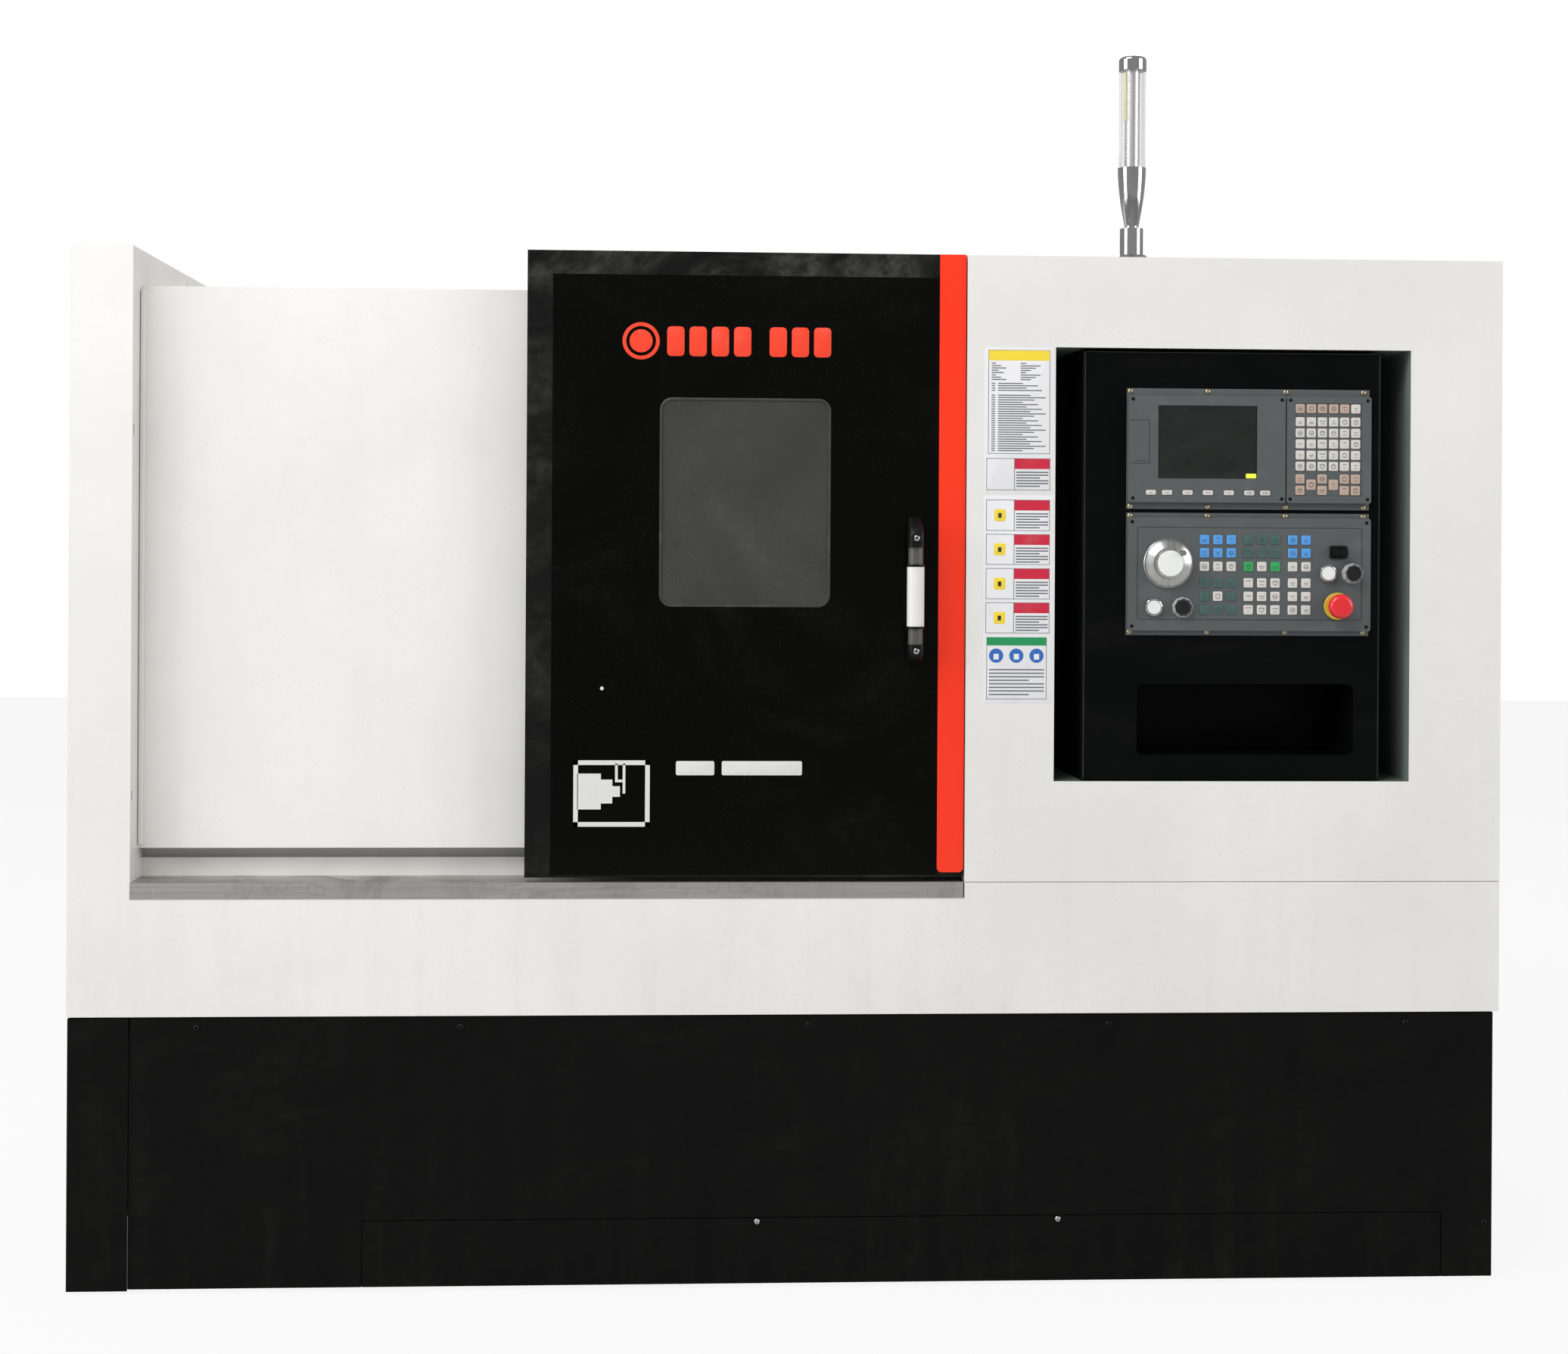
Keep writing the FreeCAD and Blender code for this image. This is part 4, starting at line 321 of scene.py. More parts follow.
@dataclass(frozen=True)
class Brushed(Recipe):
    """Metal with fine lines along one axis, water stains and handling marks."""

    colour: Colour
    gloss: float = 0.32
    grain: Triple = (5.0, 900.0, 900.0)
    stain: float = 0.25
    stain_colour: Colour = (0.16, 0.14, 0.11)

    def lay(self, mat: Paint) -> bpy.types.Material:
        """Lay the finish down."""
        lines = mat.noise(1.0, 3.0, 0.6, mat.place(self.grain))
        cloud = mat.noise(7.0, 6.0, 0.65, None, 0.8)
        drops = mat.cells(34.0)
        marks = cloud.ease(0.46, 0.72) * self.stain
        rings = (drops.ease(0.30, 0.36) - drops.ease(0.38, 0.46)) * mat.noise(6.0, 1.0).ease(0.5, 0.6)
        base = mat.vary(lines.ease(0.3, 0.7), self.colour, 0.86, 1.08)
        base = mat.blend(marks, base, self.stain_colour)
        base = mat.blend(rings * 0.3 * self.stain, base, self.stain_colour)
        rough = lines * 0.14 + marks * 0.35 + (self.gloss - 0.07)
        return mat.surface(Base_Color=base, Metallic=1.0, Roughness=rough,
                           Normal=mat.bump(lines, 0.00002, 0.6))


@dataclass(frozen=True)
class Turned(Recipe):
    """Lathe-turned or polished metal: rings round the X axis of its own shape and oil marks."""

    colour: Colour
    gloss: float = 0.22
    pitch: float = 1400.0
    film: float = 0.15

    def lay(self, mat: Paint) -> bpy.types.Material:
        """Lay the finish down."""
        feed = mat.noise(1.0, 2.0, 0.5, mat.place((self.pitch, 8.0, 8.0)))
        cloud = mat.noise(18.0, 4.0, 0.6)
        wear = cloud.ease(0.5, 0.75) * self.film
        base = mat.vary(feed.ease(0.3, 0.7), self.colour, 0.9, 1.06)
        base = mat.blend(wear, base, scaled(self.colour, 0.35))
        rough = feed * 0.08 + wear * 0.3 + (self.gloss - 0.04)
        return mat.surface(Base_Color=base, Metallic=1.0, Roughness=rough,
                           Normal=mat.bump(feed, 0.00001, 0.5))


@dataclass(frozen=True)
class Casting(Recipe):
    """Painted iron casting: sand texture under thick paint, chips and oil."""

    colour: Colour
    gloss: float = 0.48

    def lay(self, mat: Paint) -> bpy.types.Material:
        """Lay the finish down."""
        sand = mat.noise(170.0, 5.0, 0.7)
        lumps = mat.noise(22.0, 3.0, 0.5)
        oil = mat.noise(4.0, 5.0, 0.6, mat.place((1.0, 1.0, 0.5)))
        chips = (mat.cells(46.0) < 0.16) * (mat.noise(11.0, 3.0) > 0.58)
        base = mat.vary(lumps, self.colour, 0.92, 1.05)
        base = mat.blend(oil.ease(0.5, 0.8) * 0.45, base, (0.10, 0.085, 0.06))
        base = mat.blend(chips * 0.8, base, (0.05, 0.045, 0.04))
        rough = sand * 0.15 - oil.ease(0.5, 0.8) * 0.18 + self.gloss
        skin = mat.bump(sand * 0.5 + lumps, 0.0006, 0.5)
        return mat.surface(Base_Color=base, Roughness=rough, Normal=skin)


@dataclass(frozen=True)
class Moulded(Recipe):
    """Moulded plastic or rubber: fine spark texture, scuffs and a little dust."""

    colour: Colour
    gloss: float = 0.42
    grain: float = 900.0
    scuff: float = 0.12
    dust: Colour = (0.30, 0.29, 0.27)
    coat: float = 0.0
    shine: float = 0.5

    def lay(self, mat: Paint) -> bpy.types.Material:
        """Lay the finish down."""
        pits = mat.noise(self.grain, 2.0, 0.6)
        cloud = mat.noise(19.0, 5.0, 0.62, None, 0.5)
        rub = cloud.ease(0.5, 0.8) * self.scuff
        base = mat.vary(mat.noise(7.0, 3.0), self.colour, 0.9, 1.06)
        base = mat.blend(rub, base, self.dust)
        rough = pits * 0.08 + rub * 0.5 + (self.gloss - 0.04)
        return mat.surface(Base_Color=base, Roughness=rough, Coat_Weight=self.coat, Coat_Roughness=0.12,
                           Specular_IOR_Level=self.shine,
                           Normal=mat.bump(pits, 0.00005, 0.5))


@dataclass(frozen=True)
class Pane(Recipe):
    """Tinted laminated window: dim see-through sheet with coolant haze and wipe arcs."""

    colour: Colour
    cover: float = 0.86

    def lay(self, mat: Paint) -> bpy.types.Material:
        """Lay the finish down."""
        height = mat.axes()[2]
        haze = mat.noise(6.5, 6.0, 0.64, mat.place((1.0, 1.0, 0.7)), 0.7)
        drops = (mat.cells(120.0) < 0.12) * (mat.noise(8.0, 2.0) > 0.5)
        base = mat.vary(haze.ease(0.3, 0.75), self.colour, 0.85, 1.25)
        base = mat.blend((height - 1.1).ease(0.0, 0.4) * 0.25, base, scaled(self.colour, 0.8))
        base = mat.blend(drops * 0.25, base, (0.25, 0.25, 0.24))
        alpha = (haze * 0.12 + (self.cover - 0.06)).least(1.0)
        rough = haze * 0.12 + drops * 0.2 + 0.06
        return mat.surface(Base_Color=base, Roughness=rough, Alpha=alpha, Specular_IOR_Level=0.5,
                           Normal=mat.bump(mat.noise(4.0, 1.0), 0.0008, 0.2))


@dataclass(frozen=True)
class Clear(Recipe):
    """Clear moulding that shows mostly by its edges and reflections."""

    colour: Colour = (0.82, 0.84, 0.84)
    face: float = 0.10
    rim: float = 0.55

    def lay(self, mat: Paint) -> bpy.types.Material:
        """Lay the finish down."""
        edge = mat.node("ShaderNodeLayerWeight", None, {"Blend": 0.35}, "Facing")
        flow = mat.noise(60.0, 2.0, 0.5, mat.place((1.0, 1.0, 0.2)))
        alpha = edge ** 1.6 * self.rim + flow * 0.05 + self.face
        base = mat.vary(flow, self.colour, 0.95, 1.05)
        return mat.surface(Base_Color=base, Alpha=alpha.least(1.0), Roughness=flow * 0.05 + 0.05,
                           Normal=mat.bump(flow, 0.0002, 0.2))


@dataclass(frozen=True)
class Print(Recipe):
    """Printed vinyl or enamel: the colour comes from the mesh's points, over fine grain and wear."""

    gloss: float = 0.40
    wear: float = 0.12
    glow: float = 0.0

    def lay(self, mat: Paint) -> bpy.types.Material:
        """Lay the finish down."""
        ink = mat.tint()
        grain = mat.noise(750.0, 3.0, 0.6)
        rub = mat.noise(26.0, 5.0, 0.65).ease(0.48, 0.8) * self.wear
        base = mat.blend(grain * 0.12, ink, (0.02, 0.02, 0.02))
        base = mat.blend(rub, base, (0.40, 0.39, 0.36))
        extra = {}
        if self.glow > 0.0:
            extra = {"Emission_Color": ink, "Emission_Strength": self.glow}
        return mat.surface(Base_Color=base, Roughness=grain * 0.06 + rub * 0.4 + self.gloss,
                           Normal=mat.bump(grain, 0.00003, 0.4), **extra)


@dataclass(frozen=True)
class KeyTops(Recipe):
    """Membrane keys: tinted tops with a small printed mark on each, worked from (u, v, seed)."""

    gloss: float = 0.36

    def lay(self, mat: Paint) -> bpy.types.Material:
        """Lay the finish down."""
        key = mat.node("ShaderNodeAttribute", {"attribute_name": "key"}, None, "Vector")
        across, up, seed = mat.axes(key)
        width = (seed * 7.31).part() * 0.35 + 0.20
        bar = (abs(across) < width) * (abs(up - ((seed * 3.7).part() * 0.5 - 0.1)) < 0.09)
        second = (abs(across) < (seed * 5.13).part() * 0.4) * (abs(up + 0.32) < 0.07)
        ring_size = (across * across + up * up) ** 0.5
        ring = (abs(ring_size - 0.38) < 0.07) * ((seed * 11.7).part() > 0.62)
        mark = (bar + second + ring).least(1.0)
        grain = mat.noise(900.0, 2.0)
        rub = mat.noise(70.0, 4.0, 0.6).ease(0.5, 0.8) * 0.25
        base = mat.blend(grain * 0.15, mat.tint(), (0.03, 0.03, 0.03))
        base = mat.blend(mark * 0.62, base, (0.035, 0.04, 0.05))
        base = mat.blend(rub * 0.4, base, (0.35, 0.33, 0.30))
        return mat.surface(Base_Color=base, Roughness=grain * 0.08 + rub * 0.3 + self.gloss,
                           Normal=mat.bump(grain + mark, 0.00004, 0.5))


@dataclass(frozen=True)
class Screen(Recipe):
    """Unlit liquid-crystal panel: dark green-black with a fine grid and finger marks."""

    colour: Colour = shade(24, 28, 25)

    def lay(self, mat: Paint) -> bpy.types.Material:
        """Lay the finish down."""
        x_axis, _, z_axis = mat.axes()
        grid = ((x_axis * 9000.0).sine() * (z_axis * 9000.0).sine()).ease(-1.0, 1.0)
        cloud = mat.noise(14.0, 5.0, 0.6, mat.place((1.0, 1.0, 1.6), (0.0, 0.7, 0.0)), 1.0)
        base = mat.blend(cloud.ease(0.3, 0.8), self.colour, scaled(self.colour, 1.7))
        base = mat.blend(grid * 0.2, base, (0.0, 0.0, 0.0))
        return mat.surface(Base_Color=base, Roughness=cloud * 0.12 + 0.10,
                           Normal=mat.bump(cloud, 0.0002, 0.1))


@dataclass(frozen=True)
class Ground(Recipe):
    """Pale studio floor with a very faint mottle."""

    colour: Colour = (0.62, 0.62, 0.62)
    lift: float = 0.90

    def lay(self, mat: Paint) -> bpy.types.Material:
        """Lay the finish down, lifted towards white only where it is seen directly."""
        mottle = mat.noise(1.4, 3.0)
        base = mat.vary(mottle, self.colour, 0.985, 1.015)
        pale = mat.surface(Base_Color=base, Roughness=mottle * 0.1 + 0.62)
        tree = pale.node_tree
        sheet = next(node for node in tree.nodes if node.type == "OUTPUT_MATERIAL")
        body = next(node for node in tree.nodes if node.type == "BSDF_PRINCIPLED")
        lamp = tree.nodes.new("ShaderNodeEmission")
        mix = tree.nodes.new("ShaderNodeMixShader")
        seen = mat.node("ShaderNodeLightPath", None, None, "Is Camera Ray") * self.lift
        tree.links.new(seen.socket, mix.inputs[0])
        tree.links.new(body.outputs[0], mix.inputs[1])
        tree.links.new(lamp.outputs[0], mix.inputs[2])
        tree.links.new(mix.outputs[0], sheet.inputs["Surface"])
        return pale


class Finish(Enum):
    """Every finish on the lathe."""

    WHITE_COAT = Coating(shade(232, 231, 227), soil=0.16)
    # The niche walls belong to the same white sheet; their darker grey is painted shade for the recess.
    NICHE_COAT = Coating(shade(232, 231, 227), soil=0.16, inset=(0.4180, 1.0115, -0.7035, 0.8165, 1.5295),
                         inset_coat_and_shade_colour=shade(116, 126, 123))
    BLACK_COAT = Coating(shade(11, 13, 11), 0.36, 0.22, 0.5, 0.05, (0.07, 0.067, 0.06), shine=0.07)
    DOOR_COAT = Coating(shade(18, 19, 18), 0.34, 0.05, 0.9, 0.80, shade(88, 88, 82), shine=0.10,
                        lower_smear=0.35)
    CONSOLE_COAT = Coating(shade(7, 9, 8), 0.34, 0.05, 0.9, 0.10, shade(52, 52, 49), shine=0.06)
    ORANGE_COAT = Coating(shade(255, 55, 24), 0.30, 0.10, 0.9, 0.0, (0.25, 0.08, 0.04))
    CAST_GREY = Casting(shade(158, 164, 166))
    STAINLESS = Brushed((0.55, 0.54, 0.525), 0.36, (5.0, 900.0, 900.0), 0.50)
    GROUND_STEEL = Brushed((0.60, 0.61, 0.62), 0.24, (4.0, 700.0, 700.0), 0.12)
    CHUCK_STEEL = Turned((0.46, 0.46, 0.47), 0.28)
    TOOL_STEEL = Brushed((0.16, 0.16, 0.17), 0.36, (300.0, 300.0, 30.0), 0.10)
    CHROME = Turned((0.56, 0.56, 0.57), 0.07, 60.0, 0.08)
    ALUMINIUM = Turned((0.72, 0.72, 0.73), 0.34)
    SILVER_KNOB = Turned((0.52, 0.52, 0.51), 0.30, 300.0, 0.10)
    BRASS_SCREW = Turned((0.62, 0.52, 0.34), 0.30, 400.0, 0.25)
    FASCIA = Lacquer(shade(5, 6, 3), dust=(0.055, 0.055, 0.05), shine=0.09)
    WINDOW = Pane(shade(67, 67, 63))
    BLACK_PLASTIC = Moulded(shade(12, 13, 13), 0.40, 900.0, 0.06, (0.12, 0.12, 0.11), shine=0.2)
    NYLON = Moulded((0.78, 0.77, 0.72), 0.45)
    MOTOR_ENAMEL = Moulded((0.016, 0.016, 0.018), 0.5, 300.0)
    BELT_RUBBER = Moulded((0.02, 0.02, 0.02), 0.7, 300.0)
    HANDLE_LACQUER = Coating(shade(84, 84, 82), 0.30, 0.0, inset=(-1.0, 1.0, -1.0, 1.072, 1.168),
                             inset_coat_and_shade_colour=shade(228, 227, 223))
    UNIT_CHARCOAL = Moulded(shade(84, 89, 90), 0.42, 800.0, 0.10)
    CAP_WHITE = Moulded(shade(236, 238, 236), 0.24, 500.0, 0.05, coat=0.3)
    CAP_BLACK = Moulded(shade(14, 14, 14), 0.20, 500.0, 0.05, coat=0.3)
    STOP_RED = Moulded(shade(232, 40, 48), 0.26, 500.0, 0.05, (0.3, 0.1, 0.08), 0.3)
    CLEAR_TUBE = Clear((0.62, 0.61, 0.61), 0.06, 0.50)
    FILM = Clear((0.75, 0.77, 0.77), 0.16, 0.6)
    PRINT = Print()
    LAMPS = Print(0.3, 0.0, 0.8)
    KEYS = KeyTops()
    SCREEN = Screen()
    FLOOR = Ground()

    @property
    def material(self) -> bpy.types.Material:
        """The finish's material, made once."""
        name = self.name.lower() + "_finish"
        return bpy.data.materials.get(name) or self.value.paint(name)


NODE_FINISH = {
    "white_panel": Finish.WHITE_COAT, "black_panel": Finish.BLACK_COAT, "cast_bed": Finish.CAST_GREY,
    "stainless": Finish.STAINLESS, "ground_steel": Finish.GROUND_STEEL, "fascia_black": Finish.FASCIA,
    "window": Finish.WINDOW, "orange_strip": Finish.ORANGE_COAT, "black_plastic": Finish.BLACK_PLASTIC,
    "handle_steel": Finish.HANDLE_LACQUER, "nylon": Finish.NYLON, "bright_steel": Finish.CHROME,
    "motor_paint": Finish.MOTOR_ENAMEL, "aluminium": Finish.ALUMINIUM, "belt": Finish.BELT_RUBBER,
    "chuck_steel": Finish.CHUCK_STEEL, "tool_steel": Finish.TOOL_STEEL,
    "console_black": Finish.CONSOLE_COAT, "door_black": Finish.DOOR_COAT,
    "unit_black": Finish.UNIT_CHARCOAL, "button_white": Finish.CAP_WHITE,
    "button_black": Finish.CAP_BLACK, "estop_red": Finish.STOP_RED, "wheel_silver": Finish.SILVER_KNOB,
    "lens": Finish.CLEAR_TUBE,
}


def dress_nodes() -> None:
    """Give every CAD node the finish of its material slot."""
    # The right front panel's coat paints shade on its niche walls.
    special = {"right_front_panel": Finish.NICHE_COAT}
    for row in frame["record"]["subparts"]:
        mesh = frame["nodes"][row["node"]].data
        mesh.materials.clear()
        finish = special.get(row["node"]) or NODE_FINISH[row["material_slot"]]
        mesh.materials.append(finish.material)


def extent(name: str) -> tuple[np.ndarray, np.ndarray]:
    """Low and high corner of a CAD node's box, in millimetres."""
    low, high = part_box(name)
    return np.array(low) / MM, np.array(high) / MM


# --- Surfaces -------------------------------------------------------------------------
@dataclass
class Skin:
    """Points in millimetres, four- and three-sided faces, and a colour and key value per point."""

    points: np.ndarray
    quads: np.ndarray
    tris: np.ndarray = field(default_factory=lambda: np.zeros((0, 3), int))
    tint: np.ndarray | None = None
    key: np.ndarray | None = None

    def painted(self, colour: Colour) -> "Skin":
        """The same skin with one colour on all its points."""
        tint = np.tile(np.array([*colour, 1.0]), (len(self.points), 1))
        return Skin(self.points, self.quads, self.tris, tint, self.key)

    def moved(self, offset: Triple) -> "Skin":
        """The same skin, shifted."""
        return Skin(self.points + np.array(offset), self.quads, self.tris, self.tint, self.key)

    def opened(self) -> "Skin":
        """The same skin without its end fans: the two fan points come last."""
        return Skin(self.points[:-2], self.quads)

    def copies(self, offsets: np.ndarray) -> "Skin":
        """One copy of the skin at each offset: all the point arrays are summed at once."""
        count = len(offsets)
        points = (offsets[:, None, :] + self.points[None, :, :]).reshape(-1, 3)
        step = np.arange(count)[:, None, None] * len(self.points)
        quads = (self.quads[None] + step).reshape(-1, 4)
        tris = (self.tris[None] + step).reshape(-1, 3)
        tint = None if self.tint is None else np.tile(self.tint, (count, 1))
        return Skin(points, quads, tris, tint, self.key)

    def make(self, name: str, finish: Finish, body: str, slot: str = "",
             smooth: float = 0.6) -> bpy.types.Object:
        """Turn the skin into a piece.

        Args:
            name: object name.
            finish: its finish.
            body: the CAD body it moves with; empty for studio pieces.
            slot: the record's material slot; not used.
            smooth: edges sharper than this angle in radians stay crisp.

        Returns:
            The object, at the origin with its place in its mesh.
        """
        mesh = bpy.data.meshes.new(name)
        mesh.vertices.add(len(self.points))
        mesh.vertices.foreach_set("co", (self.points * MM).astype(np.float32).ravel())
        corners = np.concatenate([self.quads.ravel(), self.tris.ravel()]).astype(np.int32)
        mesh.loops.add(len(corners))
        mesh.loops.foreach_set("vertex_index", corners)
        squares, threes = len(self.quads), len(self.tris)
        starts = np.concatenate([np.arange(squares) * 4, squares * 4 + np.arange(threes) * 3])
        mesh.polygons.add(squares + threes)
        mesh.polygons.foreach_set("loop_start", starts.astype(np.int32))
        mesh.update(calc_edges=True)
        if self.tint is not None:
            layer = mesh.color_attributes.new(TINT, "FLOAT_COLOR", "POINT")
            layer.data.foreach_set("color", self.tint.astype(np.float32).ravel())
        if self.key is not None:
            layer = mesh.attributes.new("key", "FLOAT_VECTOR", "POINT")
            layer.data.foreach_set("vector", self.key.astype(np.float32).ravel())
        mesh.validate()
        loose = bmesh.new()
        loose.from_mesh(mesh)
        bmesh.ops.remove_doubles(loose, verts=loose.verts, dist=1e-6)
        bmesh.ops.recalc_face_normals(loose, faces=loose.faces)
        loose.to_mesh(mesh)
        loose.free()
        mesh.shade_smooth()
        mesh.set_sharp_from_angle(angle=smooth)
        mesh.materials.append(finish.material)
        piece = bpy.data.objects.new(name, mesh)
        bpy.context.scene.collection.objects.link(piece)
        if body:
            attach(piece, body)
        log.info("%s: %d faces", name, len(mesh.polygons))
        return piece


def joined(skins: list[Skin]) -> Skin:
    """Several skins as one; all or none of them carry colours."""
    counts = np.cumsum([0] + [len(skin.points) for skin in skins])
    return Skin(
        np.concatenate([skin.points for skin in skins]),
        np.concatenate([skin.quads + start for skin, start in zip(skins, counts)]),
        np.concatenate([skin.tris + start for skin, start in zip(skins, counts)]),
        None if skins[0].tint is None else np.concatenate([skin.tint for skin in skins]),
        None if skins[0].key is None else np.concatenate([skin.key for skin in skins]),
    )


def wrapped(rings: np.ndarray) -> Skin:
    """Skin over closed rings, each joined to the next, the end rings closed by fans.

    Args:
        rings: array (rings, points round, 3).

    Returns:
        Quads between ring i and i + 1 at every step round, and fans to each end ring's mean point.
    """
    count, around = rings.shape[:2]
    grid = np.arange(count * around).reshape(count, around)
    turned = np.roll(grid, -1, axis=1)
    quads = np.stack([grid[:-1], turned[:-1], turned[1:], grid[1:]], axis=-1).reshape(-1, 4)
    ends = np.stack([rings[0].mean(0), rings[-1].mean(0)])
    first = np.stack([turned[0], grid[0], np.full(around, count * around)], axis=-1)
    last = np.stack([grid[-1], turned[-1], np.full(around, count * around + 1)], axis=-1)
    return Skin(np.concatenate([rings.reshape(-1, 3), ends]), quads, np.concatenate([first, last]))


def rounded(half_a: float, half_b: float, radius: float, steps: int = 5) -> np.ndarray:
    """Outline of a rounded rectangle: four corner centres plus a quarter circle round each."""
    radius = max(min(radius, half_a - 1e-3, half_b - 1e-3), 1e-3)
    turn = (np.arange(4)[:, None] * 90.0 + np.linspace(0.0, 90.0, steps)[None, :]) * math.pi / 180.0
    sign_a = np.array([1.0, -1.0, -1.0, 1.0])[:, None]
    sign_b = np.array([1.0, 1.0, -1.0, -1.0])[:, None]
    side_a = sign_a * (half_a - radius) + radius * np.cos(turn)
    side_b = sign_b * (half_b - radius) + radius * np.sin(turn)
    return np.stack([side_a.ravel(), side_b.ravel()], axis=-1)


def plate(x_span: Pair, z_span: Pair, y_span: Pair,
          radius: float = 2.0, edge: float = 0.5, steps: int = 5) -> Skin:
    """Rounded plate facing the operator; y_span runs from the front face to the back.

    The outline shrinks by edge * (1 - cos a) while its depth grows by edge * sin a over a
    quarter turn, so that the front edge is rolled over.
    """
    centre = np.array([sum(x_span) / 2, 0.0, sum(z_span) / 2])
    half_x, half_z = (x_span[1] - x_span[0]) / 2, (z_span[1] - z_span[0]) / 2
    front, back = y_span
    roll = np.linspace(0.0, math.pi / 2, 4)
    insets = np.concatenate([[0.0], edge * (1 - np.cos(roll))])
    depths = np.concatenate([[back], front + edge * (1 - np.sin(roll))])
    rings = []
    for inset, depth in zip(insets, depths):
        outline = rounded(half_x - inset, half_z - inset, radius - inset, steps)
        rings.append(np.stack([outline[:, 0], np.full(len(outline), depth), outline[:, 1]], axis=-1))
    return wrapped(np.array(rings) + centre)


def turned(profile: list[Pair], at: Triple, axis: str = "y",
           around: int = 40) -> Skin:
    """Surface of revolution: each (radius, distance) of the profile makes one ring.

    Args:
        profile: radius and distance along the axis, in order; distances on y grow towards the operator.
        at: centre of the distance's zero.
        axis: "x", "y" or "z".
        around: points on each ring.

    Returns:
        The closed skin.
    """
    radius, along = np.array(profile).T
    angle = np.linspace(0.0, 2 * math.pi, around, endpoint=False)
    first = radius[:, None] * np.cos(angle)[None]
    second = radius[:, None] * np.sin(angle)[None]
    third = np.repeat(along[:, None], around, axis=1)
    order = {"x": (third, first, second), "y": (first, -third, second), "z": (first, second, third)}[axis]
    return wrapped(np.stack(order, axis=-1) + np.array(at))


def bars(centres: np.ndarray, halves: np.ndarray, turns: np.ndarray | None = None) -> Skin:
    """Many small blocks at once: each corner is centre + sign * half, turned about Y by its angle."""
    signs = np.array([[x, y, z] for x in (-1, 1) for y in (-1, 1) for z in (-1, 1)], float)
    local = signs[None] * np.broadcast_to(halves, centres.shape)[:, None, :]
    if turns is not None:
        cos, sin = np.cos(turns)[:, None], np.sin(turns)[:, None]
        x, z = local[..., 0] * cos - local[..., 2] * sin, local[..., 0] * sin + local[..., 2] * cos
        local = np.stack([x, local[..., 1], z], axis=-1)
    sides = np.array([[0, 1, 3, 2], [4, 6, 7, 5], [0, 4, 5, 1], [2, 3, 7, 6], [0, 2, 6, 4], [1, 5, 7, 3]])
    quads = (sides[None] + np.arange(len(centres))[:, None, None] * 8).reshape(-1, 4)
    return Skin((centres[:, None] + local).reshape(-1, 3), quads)


def strokes(rows: list[Box], depth: float, thick: float) -> Skin:
    """Flat bars from rows of (x from, x to, z from, z to), all at one depth."""
    data = np.array(rows, float)
    centres = np.stack([data[:, :2].mean(1), np.full(len(data), depth), data[:, 2:].mean(1)], axis=-1)
    halves = np.stack([(data[:, 1] - data[:, 0]) / 2, np.full(len(data), thick / 2),
                       (data[:, 3] - data[:, 2]) / 2], axis=-1)
    return bars(centres, halves)


def tube(path: np.ndarray, radius: float, around: int = 12) -> Skin:
    """Round tube along a path: at each point a ring square to the local direction."""
    along = np.gradient(path, axis=0)
    along /= np.linalg.norm(along, axis=1, keepdims=True)
    side = np.cross(along, np.array([0.31, 0.17, 0.93]))
    side /= np.linalg.norm(side, axis=1, keepdims=True)
    up = np.cross(along, side)
    angle = np.linspace(0.0, 2 * math.pi, around, endpoint=False)
    ring = np.cos(angle)[None, :, None] * side[:, None] + np.sin(angle)[None, :, None] * up[:, None]
    return wrapped(path[:, None] + radius * ring)


def screw_head(radius: float, rise: float) -> list[Pair]:
    """Profile of a button-head socket screw with its hexagon recess shown as a round one."""
    steps = ((0.97, 0.45), (0.8, 0.85), (0.56, 1.0), (0.46, 1.0), (0.42, 0.9), (0.42, 0.2))
    edge = [(radius * 0.98, -0.3), (radius, 0.0)]
    return edge + [(radius * wide, rise * tall) for wide, tall in steps]


def tops(centres: list[Pair], profile: list[Pair], depth: float,
         around: int = 20) -> Skin:
    """The same turned shape at many (x, z) places on a face at one depth."""
    offsets = np.array([[x, depth, z] for x, z in centres])
    return turned(profile, (0.0, 0.0, 0.0), "y", around).copies(offsets)


WHITE_INK = shade(226, 226, 224)
ORANGE_INK = shade(250, 66, 36)


